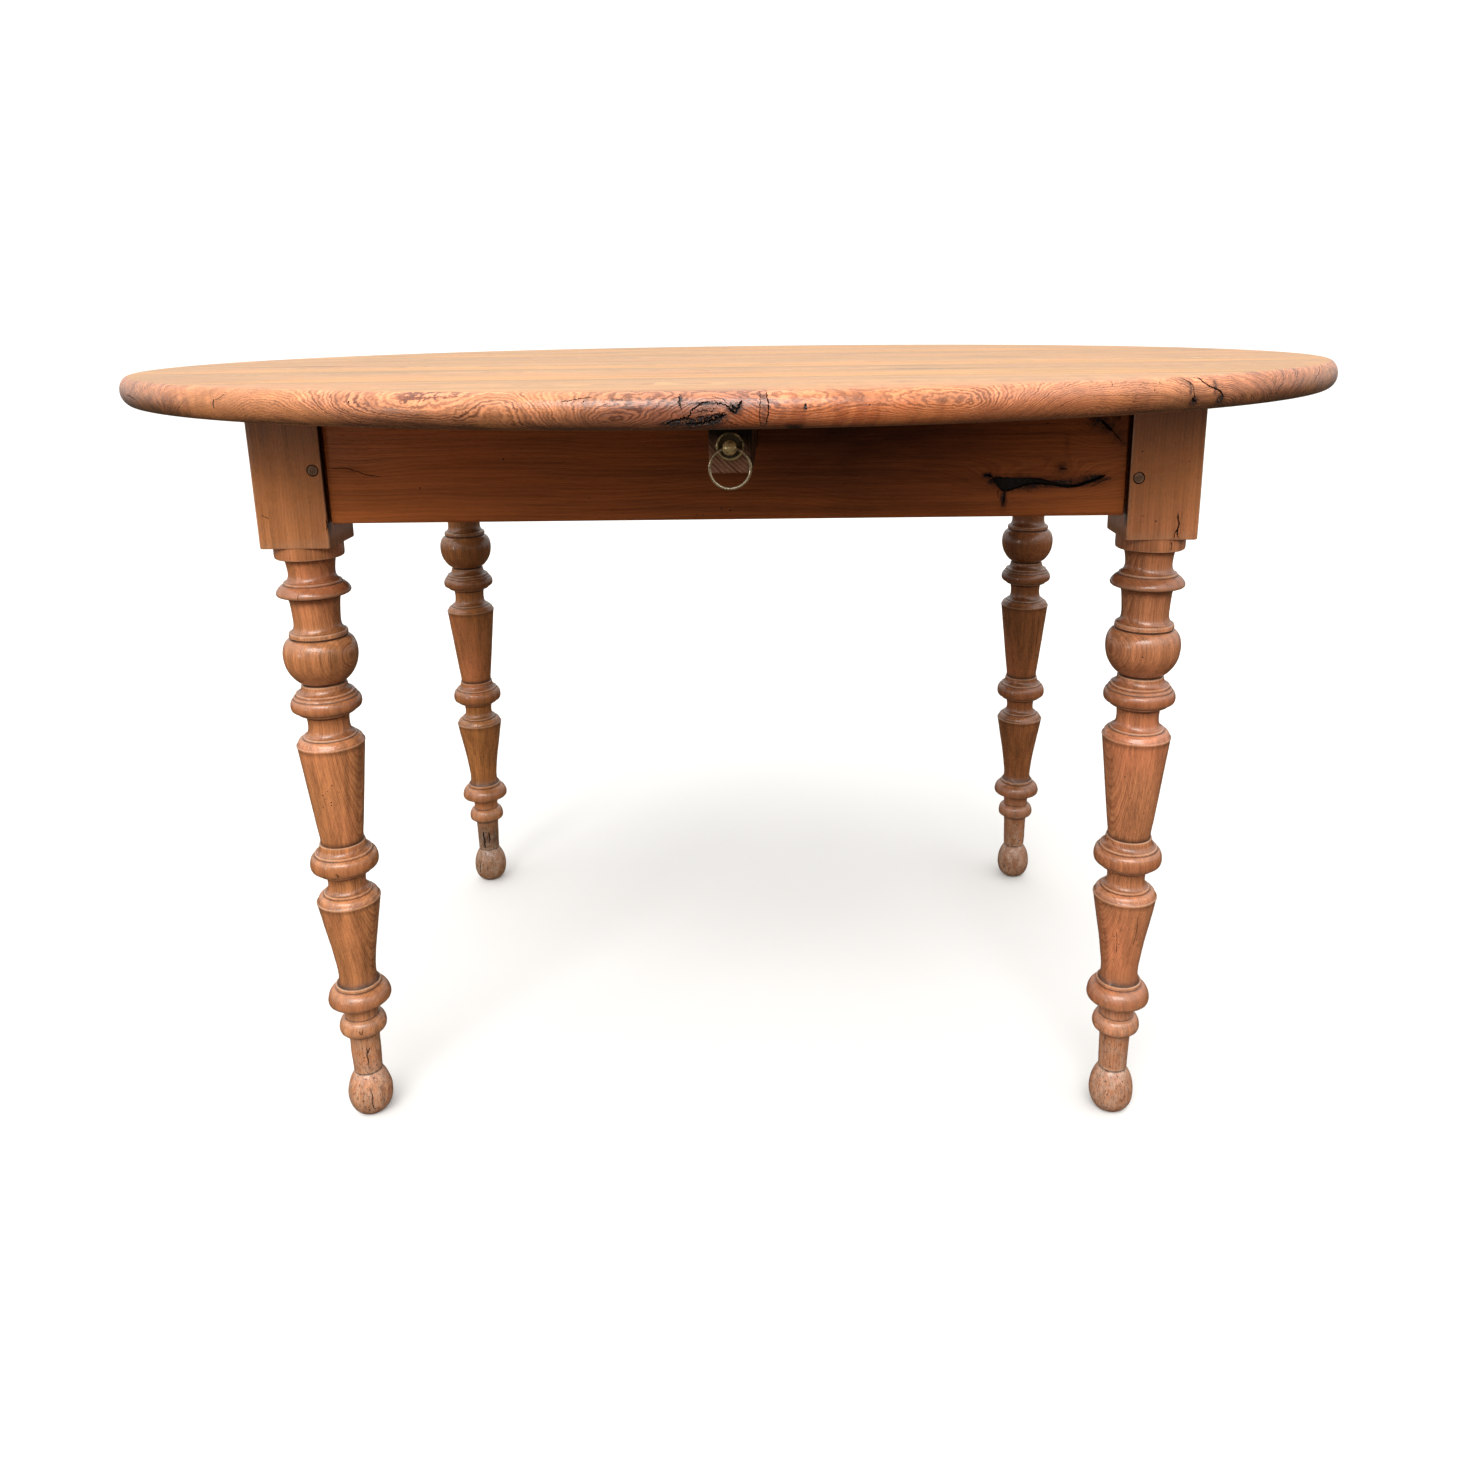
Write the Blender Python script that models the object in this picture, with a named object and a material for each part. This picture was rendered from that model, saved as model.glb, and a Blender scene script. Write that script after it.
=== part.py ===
"""Round extending dining table: a boarded round top on a pegged frame with four
turned legs, and two pull-out lopers that carry the extension leaves.

Units are metres, +Z is up, the origin is on the floor under the middle of the
top, and the front of the table faces -Y.
"""
import math

import bmesh
import bpy
from mathutils import Matrix, Vector

# ---------------------------------------------------------------- dimensions
GAP = 0.0003            # clearance between pieces that touch

TOP_H = 0.750           # floor to the top's upper face
TOP_R = 0.597           # radius of the round top
TOP_T = 0.024           # thickness of the boards
NOSE = 0.009            # depth of the bullnose, measured inwards
NOSE_STEPS = 6
RIM_STEPS = 80
SEAMS = (-0.430, -0.232, -0.032, 0.166, 0.372)   # y of the joints between boards
UNDER = TOP_H - TOP_T   # underside of the top

LEG_X = 0.383           # leg axis, half spacing left to right
LEG_Y = 0.2645          # leg axis, half spacing front to back
BLOCK = 0.063           # side of the square leg block
BLOCK_Z = 0.599         # underside of the block
LEG_STEPS = 14
FRAME_TOP = UNDER - GAP

APRON_T = 0.024         # apron thickness
APRON_Z = 0.6205        # apron lower edge
APRON_SET = 0.006       # apron face set back from the block face
SHOULDER = 0.0015       # open joint between apron shoulder and block
TENON_T = 0.011
TENON_Z0 = 0.632
TENON_Z1 = 0.712
TENON_L = 0.028

PEG_R = 0.0050          # draw-bore peg
PEG_L = 0.034
PEG_PROUD = 0.0006
PEG_IN = 0.008          # peg axis to the block's inner face
PEG_Z = {"fl": (0.6685, 0.655), "fr": (0.654, 0.667),
         "rl": (0.660, 0.650), "rr": (0.665, 0.658)}

LOPER_W = 0.031         # loper width
LOPER_H = 0.0397        # loper height
LOPER_MID = -0.0025     # x of the line between the two lopers
LOPER_SEP = 0.001
LOPER_OUT = 0.4815      # |y| of the outer end, pushed in
LOPER_IN = 0.255        # |y| of the inner end, past the middle
LOPER_Z1 = UNDER - 0.0008
LOPER_Z0 = LOPER_Z1 - LOPER_H
STOP_Y = 0.160          # |y| of the stop peg, pushed in
STOP_R = 0.004
STOP_Z = 0.6965
STOP_PROUD = 0.013

GUIDE_W = 0.022
GUIDE_H = 0.015
GUIDE_L = 0.500
RAIL_W = 0.045          # bearer rail under the lopers
RAIL_H = 0.025
RAIL_TENON = 0.012

BATTEN_X = 0.190        # battens across the boards
BATTEN_W = 0.060
BATTEN_H = 0.020
BATTEN_L = 0.510
BATTEN_SCREWS = (-0.130, 0.066, 0.215)

BUTTON_W = 0.038
BUTTON_L = 0.034
BUTTON_H = 0.020
TONGUE_H = 0.008
TONGUE_L = 0.008
BUTTONS = {"front_left": (-0.270, -1), "front_right": (0.270, -1),
           "rear_left": (-0.270, 1), "rear_right": (0.270, 1)}
SIDE_BUTTON_Y = {"left": 0.110, "right": -0.110}

SCREW_R = 0.0020
SCREW_HEAD_R = 0.0042
SCREW_HEAD_H = 0.0026
SCREW_BITE = 0.014      # how far a screw goes into the top

PULL_Z = 0.7047         # height of the pull's centre on the loper end
ROSE_R = 0.0103
ROSE_T = 0.0026
POST_R = 0.0021
POST_IN = 0.018
BALL_R = 0.0053
BALL_OUT = 0.0110       # ball centre in front of the loper end
EYE_R = 0.00235         # cross hole in the ball
RING_R = 0.01435        # ring centre line
WIRE_R = 0.0011

HALF = BLOCK / 2
APRON_FY = LEG_Y + HALF - APRON_SET      # outer face of front and rear aprons
APRON_SX = LEG_X + HALF - APRON_SET      # outer face of side aprons
TENON_Y = APRON_FY - APRON_T / 2
TENON_X = APRON_SX - APRON_T / 2


# ------------------------------------------------------------------- helpers
def clear_scene():
    for ob in list(bpy.data.objects):
        bpy.data.objects.remove(ob, do_unlink=True)
    for block in (bpy.data.meshes, bpy.data.materials, bpy.data.curves):
        for item in list(block):
            if item.users == 0:
                block.remove(item)


def material(name, colour, rough, metal=0.0):
    mat = bpy.data.materials.new(name)
    mat.use_nodes = True
    bsdf = mat.node_tree.nodes["Principled BSDF"]
    bsdf.inputs["Base Color"].default_value = (*colour, 1.0)
    bsdf.inputs["Roughness"].default_value = rough
    bsdf.inputs["Metallic"].default_value = metal
    mat.diffuse_color = (*colour, 1.0)
    return mat


TOP_WOOD = (0.43, 0.20, 0.075)
LEG_WOOD = (0.34, 0.135, 0.045)
APRON_WOOD = (0.23, 0.080, 0.028)
INNER_WOOD = (0.30, 0.17, 0.09)
PEG_WOOD = (0.16, 0.075, 0.035)
OLD_BRASS = (0.38, 0.30, 0.15)
IRON = (0.10, 0.095, 0.09)


def tone(colour, k):
    return tuple(min(1.0, c * k) for c in colour)


def place(name, bm, origin, colour, rough, metal=0.0, parent=None, smooth=None):
    """Turn a mesh drawn in world coordinates into an object with its origin at a point."""
    o = Vector(origin)
    bmesh.ops.recalc_face_normals(bm, faces=bm.faces[:])
    bmesh.ops.translate(bm, verts=bm.verts[:], vec=-o)
    mesh = bpy.data.meshes.new(name)
    bm.to_mesh(mesh)
    bm.free()
    ob = bpy.data.objects.new(name, mesh)
    bpy.context.scene.collection.objects.link(ob)
    mesh.materials.append(material("finish_" + name, colour, rough, metal))
    if smooth is not None:
        mesh.shade_smooth()
        mesh.set_sharp_from_angle(angle=math.radians(smooth))
    if parent is not None:
        ob.parent = parent
        ob.location = o - world_of(parent)
    else:
        ob.location = o
    return ob


def world_of(ob):
    p = Vector(ob.location)
    while ob.parent is not None:
        ob = ob.parent
        p += Vector(ob.location)
    return p


def empty(name, at, parent=None):
    e = bpy.data.objects.new(name, None)
    bpy.context.scene.collection.objects.link(e)
    e.empty_display_size = 0.03
    if parent is not None:
        e.parent = parent
        e.location = Vector(at) - world_of(parent)
    else:
        e.location = Vector(at)
    return e


def guide(name, bm):
    """A cutting or joining shape that isn't a piece of the table."""
    bmesh.ops.recalc_face_normals(bm, faces=bm.faces[:])
    mesh = bpy.data.meshes.new(name)
    bm.to_mesh(mesh)
    bm.free()
    ob = bpy.data.objects.new(name, mesh)
    bpy.context.scene.collection.objects.link(ob)
    ob.hide_render = True
    ob.display_type = 'WIRE'
    return ob


def boolean(ob, other, operation):
    m = ob.modifiers.new(operation.lower(), 'BOOLEAN')
    m.operation = operation
    m.solver = 'EXACT'
    m.object = other
    return m


def bevel(ob, width, segments=1, angle=40):
    m = ob.modifiers.new("eased_edges", 'BEVEL')
    m.width = width
    m.segments = segments
    m.limit_method = 'ANGLE'
    m.angle_limit = math.radians(angle)
    return m


def add_box(bm, lo, hi):
    lo, hi = Vector(lo), Vector(hi)
    mid, size = (lo + hi) / 2, hi - lo
    mat = Matrix.Translation(mid) @ Matrix.Diagonal((abs(size.x), abs(size.y), abs(size.z), 1.0))
    bmesh.ops.create_cube(bm, size=1.0, matrix=mat)
    return bm


def add_rod(bm, a, b, r0, r1=None, steps=16):
    """A closed round bar from a to b."""
    a, b = Vector(a), Vector(b)
    d = b - a
    rot = Vector((0, 0, 1)).rotation_difference(d.normalized()).to_matrix().to_4x4()
    mat = Matrix.Translation((a + b) / 2) @ rot
    bmesh.ops.create_cone(bm, cap_ends=True, segments=steps, radius1=r0,
                          radius2=r0 if r1 is None else r1, depth=d.length, matrix=mat)
    return bm


def lathe(profile, steps):
    """Turn a list of (radius, height) points, top to bottom, about the Z axis."""
    bm = bmesh.new()
    verts = [bm.verts.new((r, 0.0, z)) for r, z in profile]
    edges = [bm.edges.new((verts[i], verts[i + 1])) for i in range(len(verts) - 1)]
    bmesh.ops.spin(bm, geom=verts + edges, cent=(0, 0, 0), axis=(0, 0, 1),
                   angle=2 * math.pi, steps=steps, use_duplicate=False)
    bmesh.ops.remove_doubles(bm, verts=bm.verts[:], dist=1e-6)
    bmesh.ops.recalc_face_normals(bm, faces=bm.faces[:])
    return bm


# --------------------------------------------------------- turning, in profile
def straight(z0, r0, z1, r1, n=1, hollow=0.0):
    """A cylinder or taper; hollow bows it in at the middle."""
    pts = []
    for i in range(n + 1):
        t = i / n
        pts.append((r0 + (r1 - r0) * t - hollow * math.sin(math.pi * t), z0 + (z1 - z0) * t))
    return pts


def cyma(z0, r0, z1, r1, n=3):
    """An S-curve swelling from one radius to another."""
    pts = []
    for i in range(n + 1):
        t = i / n
        pts.append((r0 + (r1 - r0) * (0.5 - 0.5 * math.cos(math.pi * t)), z0 + (z1 - z0) * t))
    return pts


def under_edge(z0, r0, z1, r1, n=3):
    """The round under-edge of a swelling, back in to the neck."""
    pts = []
    for i in range(n + 1):
        t = 0.5 * math.pi * i / n
        pts.append((r1 + (r0 - r1) * math.cos(t), z0 + (z1 - z0) * math.sin(t)))
    return pts


def bead(z_mid, r_mid, z0, r0, z1, r1, n=3):
    """A rounded swelling from a root at z0 over a middle to a root at z1."""
    pts = []
    for i in range(n + 1):
        t = 0.5 * math.pi * (1 - i / n)
        pts.append((r0 + (r_mid - r0) * math.cos(t), z_mid + (z0 - z_mid) * math.sin(t)))
    return pts + under_edge(z_mid, r_mid, z1, r1, n)[1:]


def disc(z_top, r_top, z_lip, r_lip, z_low, r_low, z_root, r_root):
    """A turned disc: a rounded shoulder out to the lip, and a nearly flat underside."""
    pts = []
    for i in range(3):
        t = 0.25 * math.pi * i
        pts.append((r_top + (r_lip - r_top) * math.sin(t), z_lip + (z_top - z_lip) * math.cos(t)))
    return pts + [(r_low, z_low), (r_root, z_root)]


def fillet(z0, r, tall=2.0):
    """A small square step."""
    return straight(z0, r - 0.3, z0 - tall, r)


def leg_profile():
    mm = 0.001
    p = []
    p += [(0.0, BLOCK_Z / mm + 6)]
    p += straight(BLOCK_Z / mm + 6, 30.5, 587.4, 30.2)       # collar under the block
    p += straight(586, 23.0, 572, 20.8)                      # neck
    p += fillet(564.6, 25.6)
    p += disc(561.8, 27.0, 554.8, 33.0, 551.8, 30.6, 550.4, 24.2)
    p += straight(541, 22.0, 524, 21.1)                      # waisted neck
    p += fillet(517.2, 26.4, 5.0)
    p += bead(495.5, 33.6, 510, 28.5, 468.4, 20.0, 3)        # bulb
    p += cyma(465.6, 20.8, 458, 27.0, 1)                     # stepped shoulder
    p += disc(454.2, 29.2, 446.4, 32.4, 440.6, 28.2, 435.8, 20.2)
    p += cyma(427, 19.0, 415, 24.6, 2)                       # neck
    p += cyma(413.4, 26.4, 406.6, 31.4, 1)                   # shoulder
    p += straight(404, 30.8, 306.4, 19.9, 2, 0.3)            # long taper
    p += cyma(303, 21.6, 294.4, 27.0, 1)                     # cove
    p += disc(292, 28.6, 282.6, 32.0, 276, 28.0, 270.6, 19.4)
    p += cyma(262, 17.8, 252, 22.8, 2)                       # neck
    p += cyma(249.8, 25.2, 242.6, 30.3, 1)                   # shoulder
    p += straight(240.5, 29.8, 158, 18.0, 3, 1.6)            # short taper
    p += fillet(150.2, 22.0, 2.6)
    p += disc(146.4, 22.8, 134.4, 30.3, 129.5, 27.6, 126.6, 17.4)
    p += straight(120, 16.2, 113, 16.3)
    p += disc(112, 18.2, 102, 23.1, 95.8, 20.4, 93.8, 15.7)
    p += straight(86, 15.0, 51.6, 14.1)                      # ankle
    z_mid, rad, tall, flat = 23.0, 21.9, 24.2, 7.0           # ball foot, worn flat below
    for i in range(6):
        a = math.radians(49 - i * (49 + 71.8) / 6)
        p.append((rad * math.cos(a), z_mid + tall * math.sin(a)))
    p += [(flat, 0.0), (0.0, 0.0)]
    return [(r * mm, z * mm) for r, z in p]


# -------------------------------------------------------------------- the top
def nose_profile():
    half = TOP_T / 2
    pts = [(0.0, TOP_H)]
    for i in range(NOSE_STEPS + 1):
        a = math.pi * (0.5 - i / NOSE_STEPS)
        pts.append((TOP_R - NOSE + NOSE * math.cos(a), TOP_H - half + half * math.sin(a)))
    return pts + [(0.0, UNDER)]


def screw_places():
    """Every screw that goes up into the top: name, x, y, height of its head's face."""
    out = []
    for side, sx in (("left", -1), ("right", 1)):
        for i, y in enumerate(BATTEN_SCREWS):
            out.append((f"batten_screw_{side}_{i + 1}", sx * BATTEN_X, y, FRAME_TOP - BATTEN_H))
    for name, (x, sy) in BUTTONS.items():
        out.append((f"button_screw_{name}", x, sy * (APRON_FY - APRON_T - 0.019), FRAME_TOP - BUTTON_H))
    for side, sx in (("left", -1), ("right", 1)):
        out.append((f"button_screw_{side}", sx * (APRON_SX - APRON_T - 0.019), SIDE_BUTTON_Y[side],
                    FRAME_TOP - BUTTON_H))
    return out


def make_boards():
    limits = (-1.0,) + SEAMS + (1.0,)
    for i in range(len(limits) - 1):
        y0, y1 = limits[i] + GAP / 2, limits[i + 1] - GAP / 2
        bm = lathe(nose_profile(), RIM_STEPS)
        for y, keep in ((y0, 1), (y1, -1)):
            if abs(y) > TOP_R:
                continue
            bmesh.ops.bisect_plane(bm, geom=bm.verts[:] + bm.edges[:] + bm.faces[:], dist=1e-7,
                                   plane_co=(0, y, 0), plane_no=(0, keep, 0), clear_inner=True)
            rim = [e for e in bm.edges if e.is_boundary]
            bmesh.ops.contextual_create(bm, geom=rim)
        bmesh.ops.dissolve_limit(bm, angle_limit=math.radians(0.05), verts=bm.verts[:], edges=bm.edges[:])
        lo = max(y0, -TOP_R)
        hi = min(y1, TOP_R)
        name = f"top_board_{i + 1}"
        ob = place(name, bm, (0, (lo + hi) / 2, TOP_H), tone(TOP_WOOD, 0.94 + 0.03 * (i % 4)), 0.38, smooth=30)
        holes = bmesh.new()
        used = 0
        for _, x, y, _ in screw_places():
            if y0 < y < y1:
                add_rod(holes, (x, y, UNDER - 0.005), (x, y, UNDER + SCREW_BITE + 0.0006), SCREW_R + GAP, steps=12)
                used += 1
        if used:
            boolean(ob, guide(f"holes_{name}", holes), 'DIFFERENCE')
        else:
            holes.free()


def make_battens():
    for side, sx in (("left", -1), ("right", 1)):
        x = sx * BATTEN_X
        bm = add_box(bmesh.new(), (x - BATTEN_W / 2, -BATTEN_L / 2, FRAME_TOP - BATTEN_H),
                     (x + BATTEN_W / 2, BATTEN_L / 2, FRAME_TOP))
        ob = place(f"top_batten_{side}", bm, (x, 0, FRAME_TOP), INNER_WOOD, 0.6)
        bevel(ob, 0.002)
        cut = bmesh.new()
        for y in BATTEN_SCREWS:
            add_screw(cut, x, y, FRAME_TOP - BATTEN_H, GAP)
        boolean(ob, guide(f"holes_top_batten_{side}", cut), 'DIFFERENCE')


def add_screw(bm, x, y, z, grow):
    """A flat-headed screw standing head down, or its hole when grown."""
    tip = UNDER + SCREW_BITE
    low = z + 0.0004 if grow == 0 else z - 0.002
    r, h = SCREW_R + grow, SCREW_HEAD_R + grow
    prof = [(0.0, tip + grow), (r * (0.35 if grow == 0 else 1.0), tip + grow)]
    if grow == 0:
        prof.append((r, tip - 0.004))
    prof += [(r, z + 0.0004 + SCREW_HEAD_H), (h, z + 0.0004 + grow), (h, low), (0.0, low)]
    if grow == 0:
        prof.pop(-3)
    other = lathe(prof, 8)
    bmesh.ops.translate(other, verts=other.verts[:], vec=(x, y, 0))
    mesh = bpy.data.meshes.new("screw_shape")
    other.to_mesh(mesh)
    other.free()
    bm.from_mesh(mesh)
    bpy.data.meshes.remove(mesh)
    return bm


def make_screws():
    for name, x, y, z in screw_places():
        bm = add_screw(bmesh.new(), x, y, z, 0)
        place(name, bm, (x, y, z), IRON, 0.55, 0.9, smooth=35)


# ------------------------------------------------------------------ the frame
CORNERS = {"fl": (-1, -1), "fr": (1, -1), "rl": (-1, 1), "rr": (1, 1)}
LEG_NAME = {"fl": "leg_front_left", "fr": "leg_front_right", "rl": "leg_rear_left", "rr": "leg_rear_right"}


def peg_ends(corner):
    """The two pegs of a leg: through the long apron's tenon, and the side apron's."""
    sx, sy = CORNERS[corner]
    za, zb = PEG_Z[corner]
    xa = sx * (LEG_X - HALF + PEG_IN)
    yb = sy * (LEG_Y - HALF + PEG_IN)
    face_y = sy * (LEG_Y + HALF)
    face_x = sx * (LEG_X + HALF)
    return (((xa, face_y + sy * PEG_PROUD, za), (xa, face_y - sy * PEG_L, za)),
            ((face_x + sx * PEG_PROUD, yb, zb), (face_x - sx * PEG_L, yb, zb)))


def run_past(a, b, out, inn):
    """The same line, made longer at its outer and inner end."""
    a, b = Vector(a), Vector(b)
    d = (a - b).normalized()
    return a + d * out, b - d * inn


def make_legs():
    for corner, (sx, sy) in CORNERS.items():
        x, y = sx * LEG_X, sy * LEG_Y
        name = LEG_NAME[corner]
        bm = lathe(leg_profile(), LEG_STEPS)
        bmesh.ops.translate(bm, verts=bm.verts[:], vec=(x, y, 0))
        ob = place(name, bm, (x, y, 0), LEG_WOOD, 0.42, smooth=40)
        block = guide(f"block_{name}", add_box(bmesh.new(), (x - HALF, y - HALF, BLOCK_Z),
                                               (x + HALF, y + HALF, FRAME_TOP)))
        bevel(block, 0.0016)
        boolean(ob, block, 'UNION')
        cut = bmesh.new()
        inner_x, inner_y = x - sx * HALF, y - sy * HALF
        add_box(cut, (inner_x - sx * 0.005, sy * TENON_Y - TENON_T / 2 - GAP, TENON_Z0 - GAP),
                (inner_x + sx * (TENON_L + 0.0005), sy * TENON_Y + TENON_T / 2 + GAP, TENON_Z1 + GAP))
        add_box(cut, (sx * TENON_X - TENON_T / 2 - GAP, inner_y - sy * 0.005, TENON_Z0 - GAP),
                (sx * TENON_X + TENON_T / 2 + GAP, inner_y + sy * (TENON_L + 0.0005), TENON_Z1 + GAP))
        boolean(ob, guide(f"mortises_{name}", cut), 'DIFFERENCE')
        cut = bmesh.new()
        for a, b in peg_ends(corner):
            a, b = run_past(a, b, 0.004, 0.0004)
            add_rod(cut, a, b, PEG_R + GAP, steps=12)
        boolean(ob, guide(f"peg_holes_{name}", cut), 'DIFFERENCE')


def make_pegs():
    for corner in CORNERS:
        for which, (a, b) in zip(("long", "side"), peg_ends(corner)):
            bm = add_rod(bmesh.new(), a, b, PEG_R, steps=12)
            place(f"peg_{LEG_NAME[corner][4:]}_{which}", bm, a, PEG_WOOD, 0.6, smooth=40)


def make_aprons():
    reach_x = LEG_X - HALF + TENON_L
    reach_y = LEG_Y - HALF + TENON_L
    for side, sy, corners in (("front", -1, ("fl", "fr")), ("rear", 1, ("rl", "rr"))):
        out_y, in_y = sy * APRON_FY, sy * (APRON_FY - APRON_T)
        end = LEG_X - HALF - SHOULDER
        bm = add_box(bmesh.new(), (-end, min(out_y, in_y), APRON_Z), (end, max(out_y, in_y), FRAME_TOP))
        ob = place(f"apron_{side}", bm, (0, out_y, APRON_Z), APRON_WOOD, 0.45)
        bevel(ob, 0.0014)
        boolean(ob, guide(f"tenons_{side}", add_box(
            bmesh.new(), (-reach_x, sy * TENON_Y - TENON_T / 2, TENON_Z0),
            (reach_x, sy * TENON_Y + TENON_T / 2, TENON_Z1))), 'UNION')
        cut = bmesh.new()
        lo, hi = loper_span(side)
        add_box(cut, (lo - 0.0005, sy * (APRON_FY + 0.01), LOPER_Z0 - 0.0006),
                (hi + 0.0005, sy * (APRON_FY - APRON_T - 0.01), FRAME_TOP + 0.01))
        for name, (x, s) in BUTTONS.items():
            if s == sy:
                add_box(cut, (x - BUTTON_W / 2 - 0.002, in_y - sy * 0.01, FRAME_TOP - BUTTON_H - 0.0005),
                        (x + BUTTON_W / 2 + 0.002, in_y + sy * (TONGUE_L + 0.0015),
                         FRAME_TOP - BUTTON_H + TONGUE_H + 0.0005))
        boolean(ob, guide(f"openings_{side}", cut), 'DIFFERENCE')
        cut = bmesh.new()
        for c in corners:
            a, b = run_past(*peg_ends(c)[0], 0.004, 0.004)
            add_rod(cut, a, b, PEG_R + GAP, steps=12)
        boolean(ob, guide(f"peg_holes_{side}", cut), 'DIFFERENCE')
    for side, sx, corners in (("left", -1, ("fl", "rl")), ("right", 1, ("fr", "rr"))):
        out_x, in_x = sx * APRON_SX, sx * (APRON_SX - APRON_T)
        end = LEG_Y - HALF - SHOULDER
        bm = add_box(bmesh.new(), (min(out_x, in_x), -end, APRON_Z), (max(out_x, in_x), end, FRAME_TOP))
        ob = place(f"apron_{side}", bm, (out_x, 0, APRON_Z), APRON_WOOD, 0.45)
        bevel(ob, 0.0014)
        boolean(ob, guide(f"tenons_{side}", add_box(
            bmesh.new(), (sx * TENON_X - TENON_T / 2, -reach_y, TENON_Z0),
            (sx * TENON_X + TENON_T / 2, reach_y, TENON_Z1))), 'UNION')
        cut = bmesh.new()
        y = SIDE_BUTTON_Y[side]
        add_box(cut, (in_x - sx * 0.01, y - BUTTON_W / 2 - 0.002, FRAME_TOP - BUTTON_H - 0.0005),
                (in_x + sx * (TONGUE_L + 0.0015), y + BUTTON_W / 2 + 0.002,
                 FRAME_TOP - BUTTON_H + TONGUE_H + 0.0005))
        z1 = LOPER_Z0 - 0.0007
        add_box(cut, (in_x - sx * 0.01, -RAIL_W / 2 + 0.006 - GAP, z1 - RAIL_H + 0.004 - GAP),
                (in_x + sx * (RAIL_TENON + 0.0005), RAIL_W / 2 - 0.006 + GAP, z1 - 0.004 + GAP))
        boolean(ob, guide(f"openings_{side}", cut), 'DIFFERENCE')
        cut = bmesh.new()
        for c in corners:
            a, b = run_past(*peg_ends(c)[1], 0.004, 0.004)
            add_rod(cut, a, b, PEG_R + GAP, steps=12)
        boolean(ob, guide(f"peg_holes_{side}", cut), 'DIFFERENCE')


def make_rail():
    z1 = LOPER_Z0 - 0.0007
    end = APRON_SX - APRON_T - GAP
    bm = add_box(bmesh.new(), (-end, -RAIL_W / 2, z1 - RAIL_H), (end, RAIL_W / 2, z1))
    ob = place("bearer_rail", bm, (0, 0, z1), INNER_WOOD, 0.6)
    bevel(ob, 0.0012)
    reach = APRON_SX - APRON_T + RAIL_TENON
    boolean(ob, guide("tenons_bearer_rail", add_box(
        bmesh.new(), (-reach, -RAIL_W / 2 + 0.006, z1 - RAIL_H + 0.004),
        (reach, RAIL_W / 2 - 0.006, z1 - 0.004))), 'UNION')


def make_guides():
    pair = LOPER_W + LOPER_SEP / 2 + 0.001
    for side, sx in (("left", -1), ("right", 1)):
        a = LOPER_MID + sx * pair
        b = a + sx * GUIDE_W
        bm = add_box(bmesh.new(), (min(a, b), -GUIDE_L / 2, FRAME_TOP - GUIDE_H),
                     (max(a, b), GUIDE_L / 2, FRAME_TOP))
        bevel(place(f"loper_guide_{side}", bm, (a, 0, FRAME_TOP), INNER_WOOD, 0.6), 0.0012)


def add_button(lo_hi, tongue):
    bm = add_box(bmesh.new(), *lo_hi)
    return bm, add_box(bmesh.new(), *tongue)


def make_buttons():
    z1 = FRAME_TOP
    z0 = z1 - BUTTON_H
    spots = [(n, (x, s * (APRON_FY - APRON_T)), (0, s)) for n, (x, s) in BUTTONS.items()]
    spots += [(n, (s * (APRON_SX - APRON_T), SIDE_BUTTON_Y[n]), (s, 0)) for n, s in (("left", -1), ("right", 1))]
    for name, (ex, ey), (dx, dy) in spots:
        # the face that meets the apron is at (ex, ey); the apron lies towards (dx, dy)
        wx, wy = abs(dy) * BUTTON_W / 2, abs(dx) * BUTTON_W / 2
        near = Vector((ex - dx * 0.0005, ey - dy * 0.0005, 0))
        far = near - Vector((dx, dy, 0)) * BUTTON_L
        tip = near + Vector((dx, dy, 0)) * TONGUE_L
        root = near - Vector((dx, dy, 0)) * 0.006

        def corners(p, q, za, zb):
            return ((min(p.x, q.x) - wx, min(p.y, q.y) - wy, za), (max(p.x, q.x) + wx, max(p.y, q.y) + wy, zb))
        bm = add_box(bmesh.new(), *corners(near, far, z0, z1))
        ob = place(f"turn_button_{name}", bm, (near.x, near.y, z1), INNER_WOOD, 0.6)
        bevel(ob, 0.001)
        lo, hi = corners(root, tip, z0 + 0.001, z0 + TONGUE_H)
        lo = (lo[0] + (0.001 if wx else 0), lo[1] + (0.001 if wy else 0), lo[2])
        hi = (hi[0] - (0.001 if wx else 0), hi[1] - (0.001 if wy else 0), hi[2])
        boolean(ob, guide(f"tongue_{name}", add_box(bmesh.new(), lo, hi)), 'UNION')
        for sname, x, y, z in screw_places():
            if sname == f"button_screw_{name}":
                boolean(ob, guide(f"hole_{name}", add_screw(bmesh.new(), x, y, z, GAP)), 'DIFFERENCE')


# ------------------------------------------------------------------ the lopers
def loper_span(side):
    a = LOPER_MID + (LOPER_SEP / 2 if side == "front" else -LOPER_SEP / 2)
    b = a + (LOPER_W if side == "front" else -LOPER_W)
    return min(a, b), max(a, b)


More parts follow.
